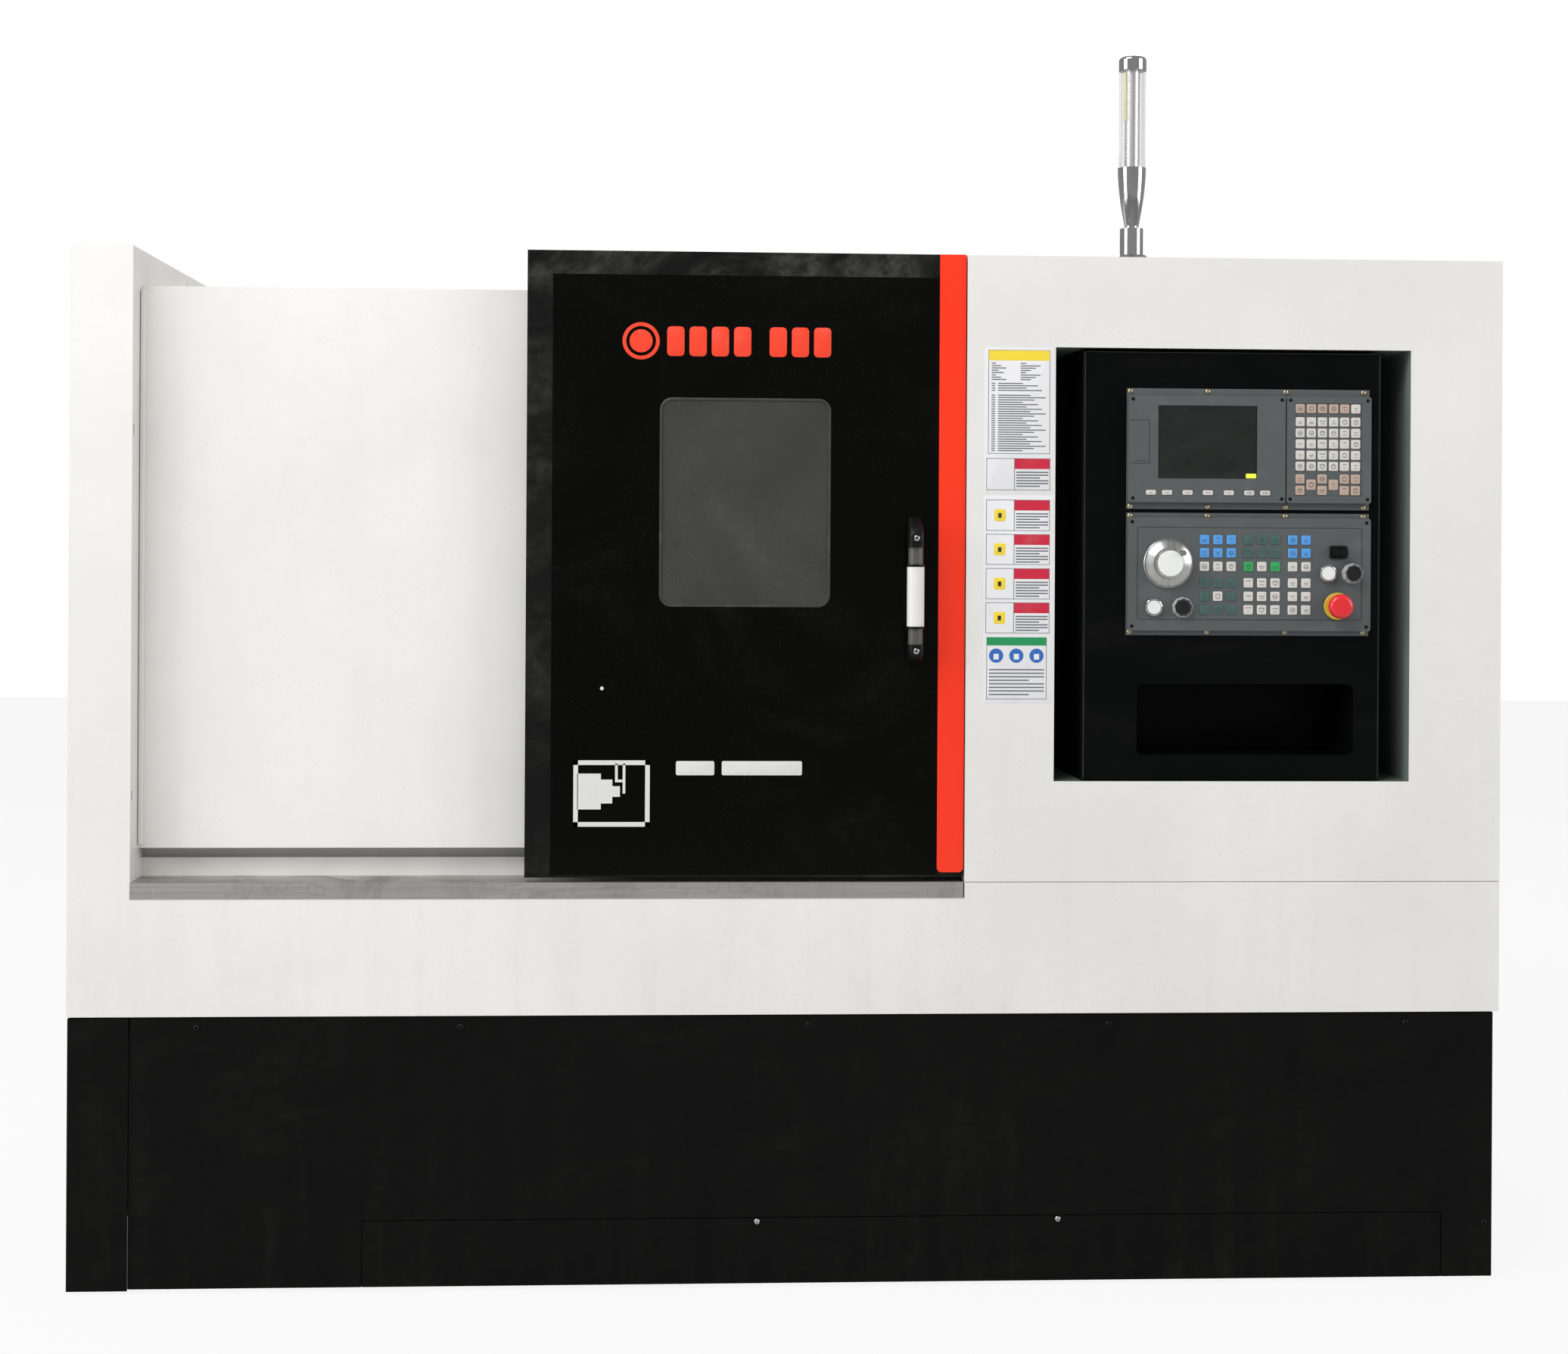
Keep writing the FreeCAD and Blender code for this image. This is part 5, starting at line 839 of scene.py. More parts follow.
# --- Sub-assemblies -------------------------------------------------------------------
@dataclass
class Cabinet:
    """Screws and seals on the fixed covers."""

    skirt_face: float = -702.0
    skirt_screws: tuple = (
        (-955.0, 425.0), (-535.5, 425.0), (24.5, 425.0), (514.6, 425.0), (1005.0, 425.0), (1138.0, 96.0),
    )
    kick_screws: tuple = ((-57.0, 108.0), (433.0, 108.0))
    seam_x: Pair = (-1062.2, -1059.8)
    seam_z: Pair = (8.0, 420.0)
    guard_z: Pair = (712.0, 1608.0)

    def build(self) -> None:
        """Add every small piece of the fixed covers."""
        dull = tops(list(self.skirt_screws), screw_head(5.5, 3.2), self.skirt_face)
        dull.make("skirt_screws", Finish.BLACK_PLASTIC, "machine", "black_panel")
        bright = tops(list(self.kick_screws), screw_head(5.0, 3.0), self.skirt_face)
        bright.make("kick_screws", Finish.CHROME, "machine")
        self.build_guard_seal()
        self.build_ledge_screws()
        self.build_skirt_seals()

    def build_skirt_seals(self) -> None:
        """Rubber strips that close the seams between the end skirt and the base skirt, front and back."""
        low, high = extent("base_skirt")
        front = plate(self.seam_x, self.seam_z, (low[1] + 1.0, low[1] + 6.0), 0.8, 0.4)
        back = plate(self.seam_x, self.seam_z, (high[1] - 6.0, high[1] - 1.0), 0.8, 0.4)
        joined([front, back]).make("skirt_seals", Finish.BLACK_PLASTIC, "machine")

    def build_guard_seal(self) -> None:
        """Seal strip at the guard's left end: a rounded bar, proud of the guard."""
        low, _ = extent("front_guard")
        depth = (low[1] - 5.0, low[1] - 0.2)
        lip = plate((low[0] + 1.0, low[0] + 9.0), self.guard_z, depth, 2.5, 2.0)
        lip.make("guard_edge_seal", Finish.WHITE_COAT, "machine")

    def build_ledge_screws(self) -> None:
        """Countersunk screws along the ledge's riser."""
        low, high = extent("front_ledge")
        z = (low[2] + high[2]) / 2
        places = [(x, z) for x in np.linspace(low[0] + 40.0, high[0] - 40.0, 6)]
        flat = [(3.6, -0.2), (3.6, 0.25), (3.2, 0.45), (1.6, 0.45), (1.5, 0.1)]
        tops(places, flat, low[1]).make("ledge_screws", Finish.STAINLESS, "machine")


@dataclass
class Door:
    """Prints, window rim and handle of the sliding door."""

    emblem: Triple = (-252.0, 1530.0, 30.0)
    words: Box = (-192.0, 12.0, 822.0, 856.0)
    picture: Box = (-357.0, -234.0, 746.0, 853.0)
    window: Box = (-221.0, 56.0, 1101.0, 1439.0)
    dot: Pair = (-312.0, 969.0)
    handle_x: float = 192.0
    bracket_half: float = 12.0
    bracket_ends: Pair = (1199.0, 1043.0)
    sleeve_ends: Pair = (1068.0, 1168.0)

    def build(self) -> None:
        """Add every piece of the door."""
        self.face = extent("door_fascia")[0][1]
        self.build_emblem()
        self.build_words()
        self.build_picture()
        self.build_rim()
        self.build_brackets()
        self.build_sleeve_ends()

    def build_emblem(self) -> None:
        """Plain orange disc with a black ring, and a row of plain orange blocks beside it."""
        x, z, radius = self.emblem
        angle = np.linspace(0.0, 2 * math.pi, 64, endpoint=False)

        def band(inner: float, outer: float) -> Skin:
            """Flat ring: inner and outer circles on its front and back."""
            rings = [(outer, 0.2), (outer, -0.25), (inner, -0.25), (inner, 0.2), (outer, 0.2)]
            data = [np.stack([r * np.cos(angle), np.full(64, y), r * np.sin(angle)], axis=-1)
                    for r, y in rings]
            return wrapped(np.array(data)).opened().moved((x, self.face, z))

        disc = turned([(radius * 0.62, 0.0), (radius * 0.62, 0.25)], (x, self.face, z), "y", 64)
        start = x + radius + 12.0
        depth = (self.face - 0.25, self.face + 0.1)
        lefts = [start + 36.0 * place for place in (0.0, 1.0, 2.0, 3.0, 4.6, 5.6, 6.6)]
        blocks = [plate((left, left + 28.0), (z - 24.0, z + 24.0), depth, 6.0, 0.05, 3) for left in lefts]
        parts = [band(radius * 0.80, radius), disc] + blocks
        joined(parts).painted(ORANGE_INK).make("door_emblem", Finish.PRINT, "door", "orange_strip")

    def build_words(self) -> None:
        """Two rows of plain white blocks in place of words."""
        x0, x1, z0, z1 = self.words
        depth = (self.face - 0.2, self.face + 0.1)
        blocks = [plate((x0 + a, x0 + b), (z0 + 7.0, z1 - 4.0), depth, 2.5, 0.05, 3)
                  for a, b in ((0.0, 62.0), (74.0, x1 - x0))]
        joined(blocks).painted(WHITE_INK).make("door_words", Finish.PRINT, "door", "button_white")

    def build_picture(self) -> None:
        """White square frame with a stepped block and a tool bar, drawn as flat bars."""
        x0, x1, z0, z1 = self.picture
        edge = 7.5
        width, height = x1 - x0, z1 - z0
        rows = [(x0, x1, z1 - edge, z1), (x0, x1, z0, z0 + edge),
                (x0, x0 + edge, z0, z1), (x1 - edge, x1, z0, z1)]
        steps = ((0.05, 0.36, 0.26, 0.80), (0.36, 0.51, 0.35, 0.71), (0.51, 0.61, 0.45, 0.61),
                 (0.545, 0.58, 0.67, 0.95), (0.645, 0.68, 0.50, 0.95), (0.58, 0.645, 0.67, 0.71))
        rows += [(x0 + a * width, x0 + b * width, z0 + c * height, z0 + d * height) for a, b, c, d in steps]
        sketch = strokes(rows, self.face - 0.05, 0.3)
        dot = turned([(3.0, 0.0), (3.0, 0.25)], (self.dot[0], self.face, self.dot[1]), "y", 20)
        joined([sketch, dot]).painted(WHITE_INK).make("door_picture", Finish.PRINT, "door", "button_white")

    def build_rim(self) -> None:
        """Thin seal round the pane: a small half-round profile carried along the rounded outline."""
        x0, x1, z0, z1 = self.window
        centre = np.array([(x0 + x1) / 2, 0.0, (z0 + z1) / 2])
        half_x, half_z = (x1 - x0) / 2, (z1 - z0) / 2
        turn = np.linspace(0.0, math.pi, 7)
        rings = []
        for inset, rise in zip(2.2 * (1 - np.cos(turn)), 0.9 * np.sin(turn)):
            outline = rounded(half_x - inset, half_z - inset, 20.0 - inset, 10)
            depth = np.full(len(outline), self.face - rise)
            rings.append(np.stack([outline[:, 0], depth, outline[:, 1]], axis=-1))
        rings.append(rings[0] + np.array([0.0, 0.6, 0.0]))
        rings.insert(0, rings[-2] + np.array([0.0, 0.6, 0.0]))
        skin = wrapped(np.array(rings[1:] + [rings[0], rings[1]])).opened()
        seal = skin.moved(tuple(centre)).painted(shade(50, 51, 47))
        seal.make("window_seal", Finish.PRINT, "door", "black_plastic")

    def build_brackets(self) -> None:
        """Handle brackets: rounded sections stacked along Z, their reach easing back to the door.

        Section t has its front at out + (back - out) * ease(t) and corners of 7 mm.
        """
        low, high = extent("handle_feet")
        out, wall = low[1], high[1]
        brackets = []
        screws = []
        for inner, outer in zip(self.bracket_ends, (high[2], low[2])):
            share = np.linspace(0.0, 1.0, 16)
            ease = np.clip((share - 0.35) / 0.65, 0.0, 1.0) ** 1.8
            rings = []
            for part, back in zip(share, ease):
                front = out + 0.2 + (wall - 11.0 - out) * back
                slim = self.bracket_half - 2.2 * part ** 4
                outline = rounded(slim, (wall - front) / 2, 6.5, 5)
                rings.append(np.stack([self.handle_x + outline[:, 0], (wall + front) / 2 + outline[:, 1],
                                       np.full(len(outline), inner + (outer - inner) * part)], axis=-1))
            brackets.append(wrapped(np.array(rings)))
            place = inner + (outer - inner) * 0.30
            screws.append(turned(screw_head(4.6, 1.2), (self.handle_x, out + 0.6, place), "y", 24))
        piece = joined(brackets).make("handle_brackets", Finish.BLACK_PLASTIC, "door", smooth=0.9)
        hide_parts("handle_feet")
        joined(screws).make("handle_screws", Finish.CHROME, "door")

    def build_sleeve_ends(self) -> None:
        """Dark rings where the handle's sleeve meets its bar."""
        low, high = extent("handle_bar")
        centre = ((low[0] + high[0]) / 2, (low[1] + high[1]) / 2, 0.0)
        rings = []
        for z in self.sleeve_ends:
            rings.append(turned([(12.05, z), (14.6, z), (14.8, z + 1.0), (14.6, z + 4.0), (12.05, z + 4.0)],
                                centre, "z", 40))
        joined(rings).make("handle_rings", Finish.BLACK_PLASTIC, "door")


@dataclass
class InstructionSheets:
    """Two printed sheets beside the niche, with plain fields of colour and grey lines for print."""

    left: float = 305.0
    top: float = 1525.0
    pitch_x: float = 0.3514
    pitch_z: float = 0.3603
    cards: tuple = ((518, 662), (705, 845), (860, 998), (1014, 1153), (1168, 1307))
    white: Colour = shade(238, 238, 240)
    yellow: Colour = shade(250, 222, 60)
    red: Colour = shade(208, 32, 62)
    green: Colour = shade(30, 150, 90)
    blue: Colour = shade(48, 108, 190)

    def span(self, a: float, b: float, c: float, d: float) -> Box:
        """Sheet units (across from, to, down from, to) as x and z in millimetres."""
        return (self.left + (a - 22) * self.pitch_x, self.left + (b - 22) * self.pitch_x,
                self.top - (d - 18) * self.pitch_z, self.top - (c - 18) * self.pitch_z)

    def build(self) -> None:
        """Add both sheets and their print."""
        self.face = extent("right_front_panel")[0][1]
        sheets = []
        for down, up in ((18.0, 678.0), (688.0, 1625.0)):
            x0, x1, z0, z1 = self.span(22.0, 345.0, down, up)
            sheets.append(plate((x0, x1), (z0, z1), (self.face - 0.25, self.face + 0.05), 2.0, 0.08, 3))
        paper = joined(sheets).painted(self.white)
        paper.make("instruction_sheets", Finish.PRINT, "machine", "button_white")
        fields: list[Skin] = []
        lines: list[Box] = []
        self.add_outline(lines, 40, 328, 30, 498)
        fields.append(self.patch(self.yellow, [(42, 326, 32, 77)]))
        for row in range(8):
            lines.append(self.span(55, 75 + 60 * ((row * 7) % 5) / 5, 88 + row * 10.4, 93 + row * 10.4))
            lines.append(self.span(190, 215 + 90 * ((row * 3) % 4) / 4, 88 + row * 10.4, 93 + row * 10.4))
        for row in range(29):
            down = 178 + row * 10.4 + (12 if row > 3 else 0)
            if down < 488:
                lines.append(self.span(55, 72, down, down + 5))
                lines.append(self.span(85, 200 + 125 * ((row * 11) % 7) / 7, down, down + 5))
        for number, (down, up) in enumerate(self.cards):
            self.add_outline(lines, 33, 330, down, up)
            fields.append(self.patch(self.red, [(165, 328, down + 2, down + 48)]))
            lines.append(self.span(162, 165, down, up))
            for row in range(6):
                end = 322 - 40 * (row % 3 == 2)
                lines.append(self.span(172, end, down + 60 + row * 12.5, down + 66 + row * 12.5))
            if number:
                middle = (down + up) / 2
                fields.append(self.badge(97, middle, 27, self.yellow))
        fields.append(self.patch(self.green, [(38, 318, 1325, 1362)]))
        self.add_outline(lines, 38, 318, 1325, 1605)
        for across in (83, 177, 271):
            fields.append(self.disc(across, 1408, 33, self.blue))
            fields.append(self.patch(self.white, [(across - 12, across + 12, 1400, 1425)], -0.5))
        for row in range(8):
            lines.append(self.span(50, 306 - 70 * (row % 4 == 3), 1468 + row * 16, 1474 + row * 16))
        joined(fields).make("instruction_fields", Finish.PRINT, "machine", "orange_strip")
        marks = strokes(lines, self.face - 0.32, 0.12).painted(shade(118, 120, 126))
        marks.make("instruction_lines", Finish.PRINT, "machine", "unit_black")

    def add_outline(self, lines: list, a: float, b: float, c: float, d: float) -> None:
        """Four thin lines round a box."""
        thin = 2.6
        for box in ((a, b, c, c + thin), (a, b, d - thin, d), (a, a + thin, c, d), (b - thin, b, c, d)):
            lines.append(self.span(*box))

    def patch(self, colour: Colour, boxes: list, lift: float = -0.4) -> Skin:
        """Flat fields of one colour."""
        return strokes([self.span(*box) for box in boxes], self.face + lift + 0.06, 0.12).painted(colour)

    def badge(self, across: float, down: float, half: float, colour: Colour) -> Skin:
        """Rounded square field with a darker small block on it."""
        x0, x1, z0, z1 = self.span(across - half, across + half, down - half, down + half)
        base = plate((x0, x1), (z0, z1), (self.face - 0.45, self.face - 0.2), 3.0, 0.05, 4).painted(colour)
        spot = self.patch(shade(40, 38, 30), [(across - 8, across + 8, down - 10, down + 12)], -0.55)
        return joined([base, spot])

    def disc(self, across: float, down: float, half: float, colour: Colour) -> Skin:
        """Round field."""
        x0, x1, z0, z1 = self.span(across - half, across + half, down - half, down + half)
        profile = [((x1 - x0) / 2, 0.2), ((x1 - x0) / 2, 0.42)]
        return turned(profile, ((x0 + x1) / 2, self.face, (z0 + z1) / 2), "y", 32).painted(colour)


@dataclass
class Console:
    """Keys, screen, dial, buttons, screws and films of the two control units."""

    front: float = -707.0
    backing: float = -698.0
    wheel_foot: float = -710.3
    housing: Box = (468.0, 962.0, 822.0, 1521.0)
    dial: Pair = (607.0, 1175.5)
    screen: Box = (590.0, 753.0, 1314.0, 1433.0)
    soft_keys: tuple = (578.2, 604.8, 638.6, 672.0, 706.6, 740.2, 766.5)
    pad_x: tuple = (824.0, 842.6, 860.9, 879.5, 897.7, 916.2)
    pad_z: tuple = (1429.6, 1408.0, 1389.8, 1371.8, 1353.6, 1335.4, 1314.7, 1295.9)
    key_groups: tuple = ((667.0, 689.0, 711.0), (739.5, 761.6, 783.7), (812.5, 834.6))
    key_rows: tuple = (1214.5, 1193.0, 1171.0, 1144.3, 1122.3, 1100.4)
    stop: Pair = (886.0, 1107.0)
    beige: Colour = shade(192, 168, 152)
    white: Colour = shade(218, 214, 208)
    blue: Colour = shade(84, 160, 232)
    teal: Colour = shade(64, 98, 92)
    green: Colour = shade(42, 170, 90)

    def build(self) -> None:
        """Add every piece of the console."""
        self.build_screen()
        self.build_keys()
        self.build_screws()
        self.build_dial()
        self.build_buttons()
        self.build_stop()
        self.build_trim()

    def build_screen(self) -> None:
        """Screen panel in the bezel's recess, its dark mask and the lit corner tab."""
        x0, x1, z0, z1 = self.screen
        depth = (self.front + 1.6, self.front + 2.45)
        panel = plate((x0 + 0.3, x1 - 0.3), (z0 + 0.3, z1 - 0.3), depth, 1.0, 0.2)
        panel.make("display_screen", Finish.SCREEN, "console", "unit_black")
        tab = plate((735.0, 752.0), (1315.0, 1322.5), (self.front + 1.35, self.front + 1.62), 0.8, 0.05)
        tab.painted(shade(196, 208, 60)).make("display_tab", Finish.LAMPS, "console", "unit_black")

    def keys(self, rows: list[tuple[float, float, float, float, Colour]], depth: float) -> Skin:
        """Key caps: rolled plates with (u, v) across each top and one seed per key.

        Args:
            rows: x, z, half width, half height and colour of each key.
            depth: y of the face they stand on.

        Returns:
            All the caps in one skin, with their colours and key values.
        """
        skins = []
        for number, (x, z, half_x, half_z, colour) in enumerate(rows):
            spans = (x - half_x, x + half_x), (z - half_z, z + half_z), (depth - 1.3, depth + 0.1)
            cap = plate(*spans, 1.8, 0.6, 3).painted(colour)
            across, up = (cap.points[:, 0] - x) / half_x / 1.2, (cap.points[:, 2] - z) / half_z / 1.2
            seed = np.full(len(across), 0.137 * number + 0.31 * x)
            cap.key = np.stack([across, up, seed], axis=-1)
            skins.append(cap)
        return joined(skins)

    def build_keys(self) -> None:
        """All membrane keys: soft keys, keypad and operator keys."""
        soft = [(x, 1291.0, 8.2, 3.9, self.white) for x in self.soft_keys]
        pad = []
        for row, z in enumerate(self.pad_z):
            for column, x in enumerate(self.pad_x):
                if row < 6:
                    plain = row > 0 or column == 5
                    pad.append((x, z, 7.6, 7.4, self.white if plain else self.beige))
                elif column not in (1, 3):
                    pad.append((x, z, 7.6, 7.6, self.beige))
        pad += [(self.pad_x[column], 1305.2, 7.6, 8.6, self.beige) for column in (1, 3)]
        lower = []
        for group, columns in enumerate(self.key_groups):
            for row, z in enumerate(self.key_rows):
                for column, x in enumerate(columns):
                    lower.append((x, z, 7.7, 7.7, self.key_colour(group, row, column)))
        groups = (("soft_keys", soft, 0.0), ("keypad_keys", pad, 1.5), ("operator_keys", lower, 0.0))
        for name, rows, sunk in groups:
            self.keys(rows, self.front + sunk).make(name, Finish.KEYS, "console", "button_white")

    def key_colour(self, group: int, row: int, column: int) -> Colour:
        """Colour of an operator key by its group, row and column."""
        if row < 2:
            return self.teal if group == 1 else self.blue
        if row == 2:
            return self.green if group == 1 and column != 1 else self.white
        if group == 0:
            return self.white if row == 4 and column == 1 else self.teal
        return self.white

    def build_screws(self) -> None:
        """Brass screws along the top and bottom of both backing plates."""
        places = [(x, z) for z in (1456.5, 1268.0, 1253.0, 1064.0) for x in (545.5, 673.0, 802.0, 931.0)]
        screws = tops(places, screw_head(4.2, 2.2), self.backing)
        screws.make("plate_screws", Finish.BRASS_SCREW, "console", "bright_steel")

    def build_dial(self) -> None:
        """Graduated silver ring round the handwheel, its ticks and the wheel's white cap."""
        x, z = self.dial
        low = self.wheel_foot + 0.3
        ring = [(40.4, -3.0), (40.4, 0.2), (39.6, 0.9), (38.9, 0.9), (38.7, 0.1), (38.5, -3.0)]
        turned(ring, (x, low, z), "y", 96).make("dial_ring", Finish.SILVER_KNOB, "console")
        number = np.arange(100)
        angle = number * 2 * math.pi / 100
        long = number % 10 == 0
        reach = np.where(long, 1.9, np.where(number % 5 == 0, 1.4, 0.9))
        radius = 37.2 - reach
        side, up = x + radius * np.sin(angle), z + radius * np.cos(angle)
        centres = np.stack([side, self.skirt_y(radius), up], axis=-1)
        halves = np.stack([np.where(long, 0.35, 0.2), np.full(100, 0.25), reach], axis=-1)
        ticks = bars(centres, halves, -angle)
        ticks.painted(shade(30, 30, 30)).make("wheel_ticks", Finish.PRINT, "pulse_wheel", "button_black")
        cap = [(21.0, 17.6), (21.0, 18.3), (20.4, 18.8), (15.0, 19.1), (0.8, 19.2)]
        turned(cap, (x, self.wheel_foot, z), "y", 64).make("wheel_cap", Finish.CAP_WHITE, "pulse_wheel")

    def skirt_y(self, radius: np.ndarray) -> np.ndarray:
        """Depth of the wheel's sloping skirt: 2 mm proud at r 38, 9 mm at r 26."""
        return self.wheel_foot - 2.0 - (38.0 - radius) / 12.0 * 7.0

    def build_buttons(self) -> None:
        """Bright collars round the white buttons and crinkled clear films round the black ones.

        The film's radius is r + 0.7 sin(9 a) + 0.4 sin(17 a + 1), rising to a narrower mouth.
        """
        collar = [(12.0, 4.6), (12.2, 6.2), (13.0, 6.7), (14.0, 6.2), (14.4, 4.6), (14.4, 0.0)]
        whites = tops([(583.0, 1104.0), (870.0, 1160.5)], collar, self.front, 40)
        whites.make("button_collars", Finish.CHROME, "console")
        angle = np.linspace(0.0, 2 * math.pi, 72, endpoint=False)
        crinkle = 0.7 * np.sin(9 * angle) + 0.4 * np.sin(17 * angle + 1.0)
        films = []
        for x, z, tall in ((631.0, 1104.0, 9.0), (910.0, 1160.5, 17.0)):
            rings = []
            profile = ((16.4, 0.1), (17.0, 2.0), (16.0, tall * 0.6), (14.8, tall), (14.2, tall),
                       (15.4, tall * 0.6), (16.3, 2.0), (15.9, 0.1), (16.4, 0.1))
            for base, rise in profile:
                radius = base + crinkle * (0.4 + 0.6 * rise / tall)
                depth = self.front - rise - 0.5 * np.sin(7 * angle + base) * rise / tall
                side, up = x + radius * np.cos(angle), z + radius * np.sin(angle)
                rings.append(np.stack([side, depth, up], axis=-1))
            films.append(wrapped(np.array(rings)).opened())
        joined(films).make("button_films", Finish.FILM, "console", "lens", 1.2)

    def build_stop(self) -> None:
        """Mushroom head of the emergency stop with its grooved skirt, on a yellow disc."""
        x, z = self.stop
        disc = [(22.0, 3.0), (22.0, 4.3), (21.2, 4.9), (13.6, 4.9), (13.6, 4.0)]
        turned(disc, (x, self.front, z), "y", 64).painted(shade(222, 190, 40)).make(
            "stop_disc", Finish.PRINT, "console", "orange_strip")
        turn = np.linspace(0.0, math.pi / 2, 9)
        crown = [(12.0 + 7.9 * math.cos(a), 26.2 + 7.7 * math.sin(a)) for a in turn]
        skirt = [(13.0, 8.4), (13.0, 18.6), (19.2, 19.2), (19.9, 20.4), (19.9, 26.2)]
        head = skirt + crown[1:] + [(0.6, 34.0)]
        shape = turned(head, (x, self.front, z), "y", 64)
        piece = shape.make("stop_head", Finish.STOP_RED, "estop", "estop_red", 0.8)
        stem = turned([(7.9, -6.5), (7.9, 19.0)], (x, self.front, z), "y", 32)
        stem.make("stop_stem", Finish.BLACK_PLASTIC, "estop")
        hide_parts("estop_button")

    def build_trim(self) -> None:
        """Slot cover, corner dimples, the printed line on the units' faces and lighter lines along the
        housing's edges that paint in an edge highlight, partly edge wear.
        """
        x0, x1, z0, z1 = 543.6, 576.0, 1338.0, 1409.0
        thin = 0.9
        lines = [(x0, x1, z1 - thin, z1), (x0, x1, z0, z0 + thin), (x1 - thin, x1, z0, z1),
                 (x0 + 10.0, x1 - 6.0, z0 + 4.0, z0 + 5.0)]
        marks = strokes(lines, self.front - 0.02, 0.16).painted(shade(34, 37, 40))
        marks.make("unit_lines", Finish.PRINT, "console", "unit_black")
        left, right, bottom, top = self.housing
        # Lighter grey lines on the housing's front edges: a painted edge highlight, partly edge wear.
        edges = [(left + 3.2, left + 4.2, bottom + 2.0, top - 2.0),
                 (right - 3.9, right - 3.2, bottom + 2.0, top - 2.0),
                 (left + 6.0, right - 6.0, top - 1.2, top - 0.6)]
        front = extent("console_housing")[0][1]
        wear = strokes(edges, front - 0.03, 0.12).painted(shade(52, 54, 53))
        wear.make("console_edge_wear", Finish.PRINT, "console", "console_black")
        holder = plate((873.5, 902.5), (1184.5, 1205.5), (self.front - 4.6, self.front + 0.1), 2.5, 0.9)
        holder.make("switch_holder", Finish.BLACK_PLASTIC, "console")
        plates = ((548.5, 794.0, 1281.5, 1443.0), (808.0, 936.0, 1281.5, 1443.0),
                  (548.0, 935.0, 1073.0, 1243.0))
        pits = [(x, z) for x0, x1, z0, z1 in plates for z in (z0, z1) for x in (x0, x1)]
        dimple = [(3.0, -0.4), (3.0, 0.14), (2.4, 0.16), (1.9, 0.05)]
        tops(pits, dimple, self.front, 16).make("unit_plugs", Finish.BLACK_PLASTIC, "console")


@dataclass
class Tower:
    """Lamp board, lamps and label strip inside the signal tower's tube."""

    at: Pair = (554.0, -655.0)
    low: float = 1832.0
    high: float = 1980.0

    def build(self) -> None:
        """Add the lamps, their board and the strip."""
        x, y = self.at
        angle = np.radians(np.array([-62.0, -32.0, 38.0, 66.0, 118.0, 148.0, 212.0, 242.0]))
        rows = np.linspace(self.low + 8.0, self.high - 6.0, 24)
        grid_a, grid_z = (part.ravel() for part in np.meshgrid(angle, rows))
        centres = np.stack([x + 12.4 * np.sin(grid_a), y - 12.4 * np.cos(grid_a), grid_z], axis=-1)
        lamps = bars(centres, np.array([0.7, 0.7, 0.9]))
        lamps.painted(shade(240, 238, 228)).make("tower_lamps", Finish.PRINT, "machine", "button_white")
        foot, head = self.low - 5.0, self.high + 6.0
        profile = [(12.05, foot), (12.3, foot), (12.3, head), (12.05, head)]
        sleeve = turned(profile, (x, y, 0.0), "z", 40)
        sleeve.make("tower_board", Finish.ALUMINIUM, "machine")
        z_span = (self.high - 78.0, self.high + 2.0)
        strip = plate((x - 17.0, x - 12.5), z_span, (y - 12.0, y - 11.2), 0.6, 0.2, 3)
        strip.painted(shade(240, 236, 176)).make("tower_strip", Finish.PRINT, "machine", "button_white")


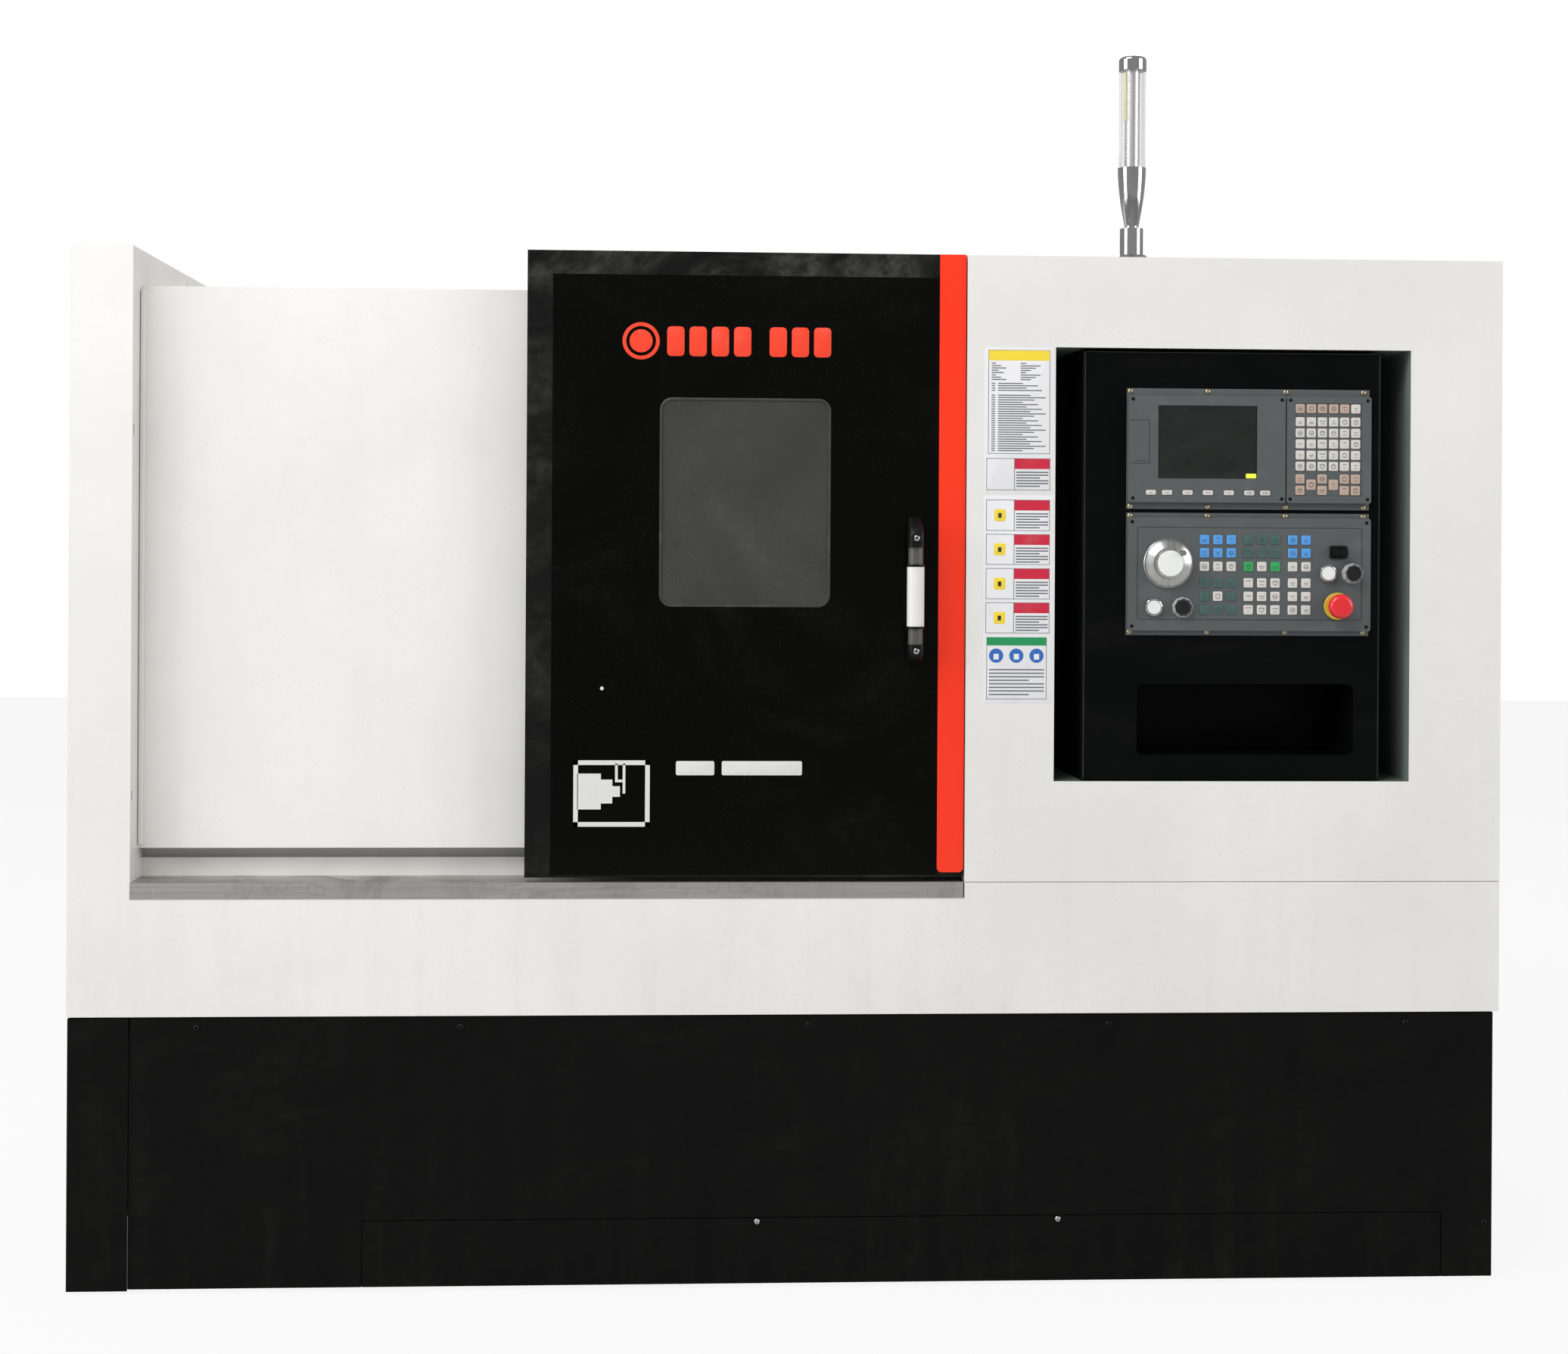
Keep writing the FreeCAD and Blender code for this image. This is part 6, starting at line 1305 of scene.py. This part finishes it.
@dataclass
class RearWall:
    """Lock, screws, fan guard and cable glands on the rear wall."""

    face: float = 726.0
    fan: Pair = (360.0, 1300.0)
    glands: tuple = ((300.0, 640.0), (350.0, 640.0), (400.0, 640.0), (450.0, 640.0))

    def build(self) -> None:
        """Add every piece of the back."""
        low, high = extent("cabinet_door")
        self.build_lock(high[0] - 40.0, (low[2] + high[2]) / 2)
        self.build_screws()
        self.build_fan()
        self.build_glands()

    def back_turned(self, profile: list[Pair], places: list[Pair],
                    around: int) -> Skin:
        """Turned shapes that stand out of the rear wall."""
        flipped = [(radius, -along) for radius, along in profile]
        return tops(places, flipped, self.face, around)

    def build_lock(self, x: float, z: float) -> None:
        """Quarter-turn lock: round escutcheon and wing grip."""
        profile = [(17.0, 0.0), (17.0, 2.5), (15.0, 4.0), (9.0, 4.5), (9.0, 8.0), (7.5, 9.0)]
        rose = self.back_turned(profile, [(x, z)], 40)
        depth = (self.face + 8.0, self.face + 15.0)
        grip = plate((x - 3.0, x + 3.0), (z - 24.0, z + 24.0), depth, 2.8, 1.2)
        joined([rose, grip]).make("rear_door_lock", Finish.BLACK_PLASTIC, "rear_door")

    def build_screws(self) -> None:
        """Screws round the rear wall's edges."""
        places = [(x, z) for z in (475.0, 1640.0) for x in np.linspace(-960.0, 1120.0, 9)]
        places += [(x, z) for x in (-960.0, 1130.0) for z in (780.0, 1080.0, 1380.0)]
        screws = self.back_turned(screw_head(4.6, 2.6), places, 16)
        screws.make("rear_screws", Finish.CHROME, "machine")

    def build_fan(self) -> None:
        """Wire fan guard: four rings and eight spokes of round wire over a dark square frame."""
        x, z = self.fan
        angle = np.linspace(0.0, 2 * math.pi, 49)
        reach = np.linspace(8.0, 78.0, 6)
        runs = [(radius * np.cos(angle), radius * np.sin(angle), 8.0)
                for radius in (22.0, 38.0, 54.0, 70.0)]
        runs += [(reach * math.cos(turn), reach * math.sin(turn), 9.5)
                 for turn in np.arange(8) * math.pi / 4]
        wires = []
        for across, up, rise in runs:
            depth = np.full(len(across), self.face + rise)
            wires.append(tube(np.stack([x + across, depth, z + up], axis=-1), 1.3, 8))
        joined(wires).make("fan_guard", Finish.CHROME, "machine")
        depth = (self.face + 5.0, self.face - 0.5)
        surround = plate((x - 82.0, x + 82.0), (z - 82.0, z + 82.0), depth, 14.0, 1.5)
        surround.make("fan_frame", Finish.BLACK_PLASTIC, "machine")

    def build_glands(self) -> None:
        """Cable glands in a row under the fan: a twelve-sided nut and domed clamp each."""
        gland = [(15.0, 0.0), (15.0, 6.0), (13.5, 7.0), (11.0, 7.5), (11.0, 13.0), (8.0, 15.5), (5.0, 16.0)]
        row = self.back_turned(gland, list(self.glands), 12)
        row.make("cable_glands", Finish.BLACK_PLASTIC, "machine")


@dataclass
class WorkArea:
    """Bolts and a turned groove on the chuck's front face."""

    axis: Pair = (-210.0, 1050.0)

    def build(self) -> None:
        """Add every small piece inside the enclosure."""
        y, z = self.axis
        x = extent("chuck_body")[1][0]
        profile = screw_head(7.0, 3.0)
        bolts = []
        for turn in np.radians([60.0, 180.0, 300.0]):
            for radius in (45.0, 82.0):
                at = (x, y - radius * math.sin(turn), z + radius * math.cos(turn))
                bolts.append(turned(profile, at, "x", 20))
        joined(bolts).make("chuck_bolts", Finish.TOOL_STEEL, "spindle_set")
        ring = [(98.0, 0.0), (98.0, 0.4), (97.0, 0.6), (96.0, 0.4), (96.0, 0.0)]
        turned(ring, (x, y, z), "x", 72).make("chuck_groove", Finish.CHUCK_STEEL, "spindle_set")


@dataclass
class Studio:
    """Floor, lights, world and camera."""

    camera_at: Triple = (-0.2257, -4.639, 1.208)
    turn: float = -3.0
    roll: float = 0.33
    lens: float = 55.946
    shift: float = -0.0866
    floor_reach: float = 14000.0
    lights: tuple = (
        ("key", (-2.2, -3.4, 5.2), (0.2, -0.2, 1.0), 3.2, 208.0),
        ("left_fill", (-6.2, -3.2, 2.6), (0.0, -0.3, 1.0), 3.4, 156.0),
        ("right_fill", (6.2, -3.4, 2.8), (0.0, -0.3, 1.0), 3.4, 156.0),
        ("back", (0.5, 5.2, 4.4), (0.0, 0.3, 1.2), 3.5, 120.0),
    )

    def build(self) -> None:
        """Set up the studio."""
        corners = np.array([[-1, -1, 0], [1, -1, 0], [1, 1, 0], [-1, 1, 0]]) * self.floor_reach
        Skin(corners, np.array([[0, 1, 2, 3]])).make("floor", Finish.FLOOR, "")
        for light in self.lights:
            self.add_light(*light)
        self.build_world()
        self.build_camera()
        view = bpy.context.scene.view_settings
        view.view_transform = "Standard"
        view.look = "None"

    def add_light(self, name: str, place: tuple, aim: tuple, size: float, power: float) -> None:
        """Square soft light, turned to its aim."""
        data = bpy.data.lights.new(name, "AREA")
        data.size = size
        data.energy = power
        light = bpy.data.objects.new(name, data)
        light.location = place
        toward = np.array(aim) - np.array(place)
        flat = math.hypot(toward[0], toward[1])
        light.rotation_euler = (math.atan2(flat, -toward[2]), 0.0, math.atan2(-toward[0], toward[1]))
        bpy.context.scene.collection.objects.link(light)

    def build_world(self) -> None:
        """World that lights softly and shows near white."""
        world = bpy.data.worlds.new("studio")
        world.use_nodes = True
        bpy.context.scene.world = world
        tree = world.node_tree
        tree.nodes.clear()
        sheet = tree.nodes.new("ShaderNodeOutputWorld")
        mix = tree.nodes.new("ShaderNodeMixShader")
        path = tree.nodes.new("ShaderNodeLightPath")
        for number, level in ((1, 0.35), (2, 1.0)):
            back = tree.nodes.new("ShaderNodeBackground")
            back.inputs["Color"].default_value = (1.0, 1.0, 1.0, 1.0)
            back.inputs["Strength"].default_value = level
            tree.links.new(back.outputs[0], mix.inputs[number])
        tree.links.new(path.outputs["Is Camera Ray"], mix.inputs[0])
        tree.links.new(mix.outputs[0], sheet.inputs["Surface"])

    def build_camera(self) -> None:
        """Camera at the operator's side."""
        data = bpy.data.cameras.new("camera")
        data.sensor_width = 36.0
        data.lens = self.lens
        data.shift_y = self.shift
        data.clip_end = 60.0
        camera = bpy.data.objects.new("camera", data)
        turn = Matrix.Rotation(math.radians(self.turn), 4, "Z") @ Matrix.Rotation(math.pi / 2, 4, "X")
        roll = Matrix.Rotation(math.radians(self.roll), 4, "Z")
        camera.matrix_world = Matrix.Translation(self.camera_at) @ turn @ roll
        bpy.context.scene.collection.objects.link(camera)
        bpy.context.scene.camera = camera


def main() -> None:
    """Build and dress the lathe, piece by piece."""
    logging.basicConfig(level=logging.INFO, format="%(message)s")
    dress_nodes()
    for assembly in (Cabinet, Door, InstructionSheets, Console, Tower, RearWall, WorkArea, Studio):
        log.info("building %s", assembly.__name__)
        assembly().build()


if __name__ == "__main__":
    main()
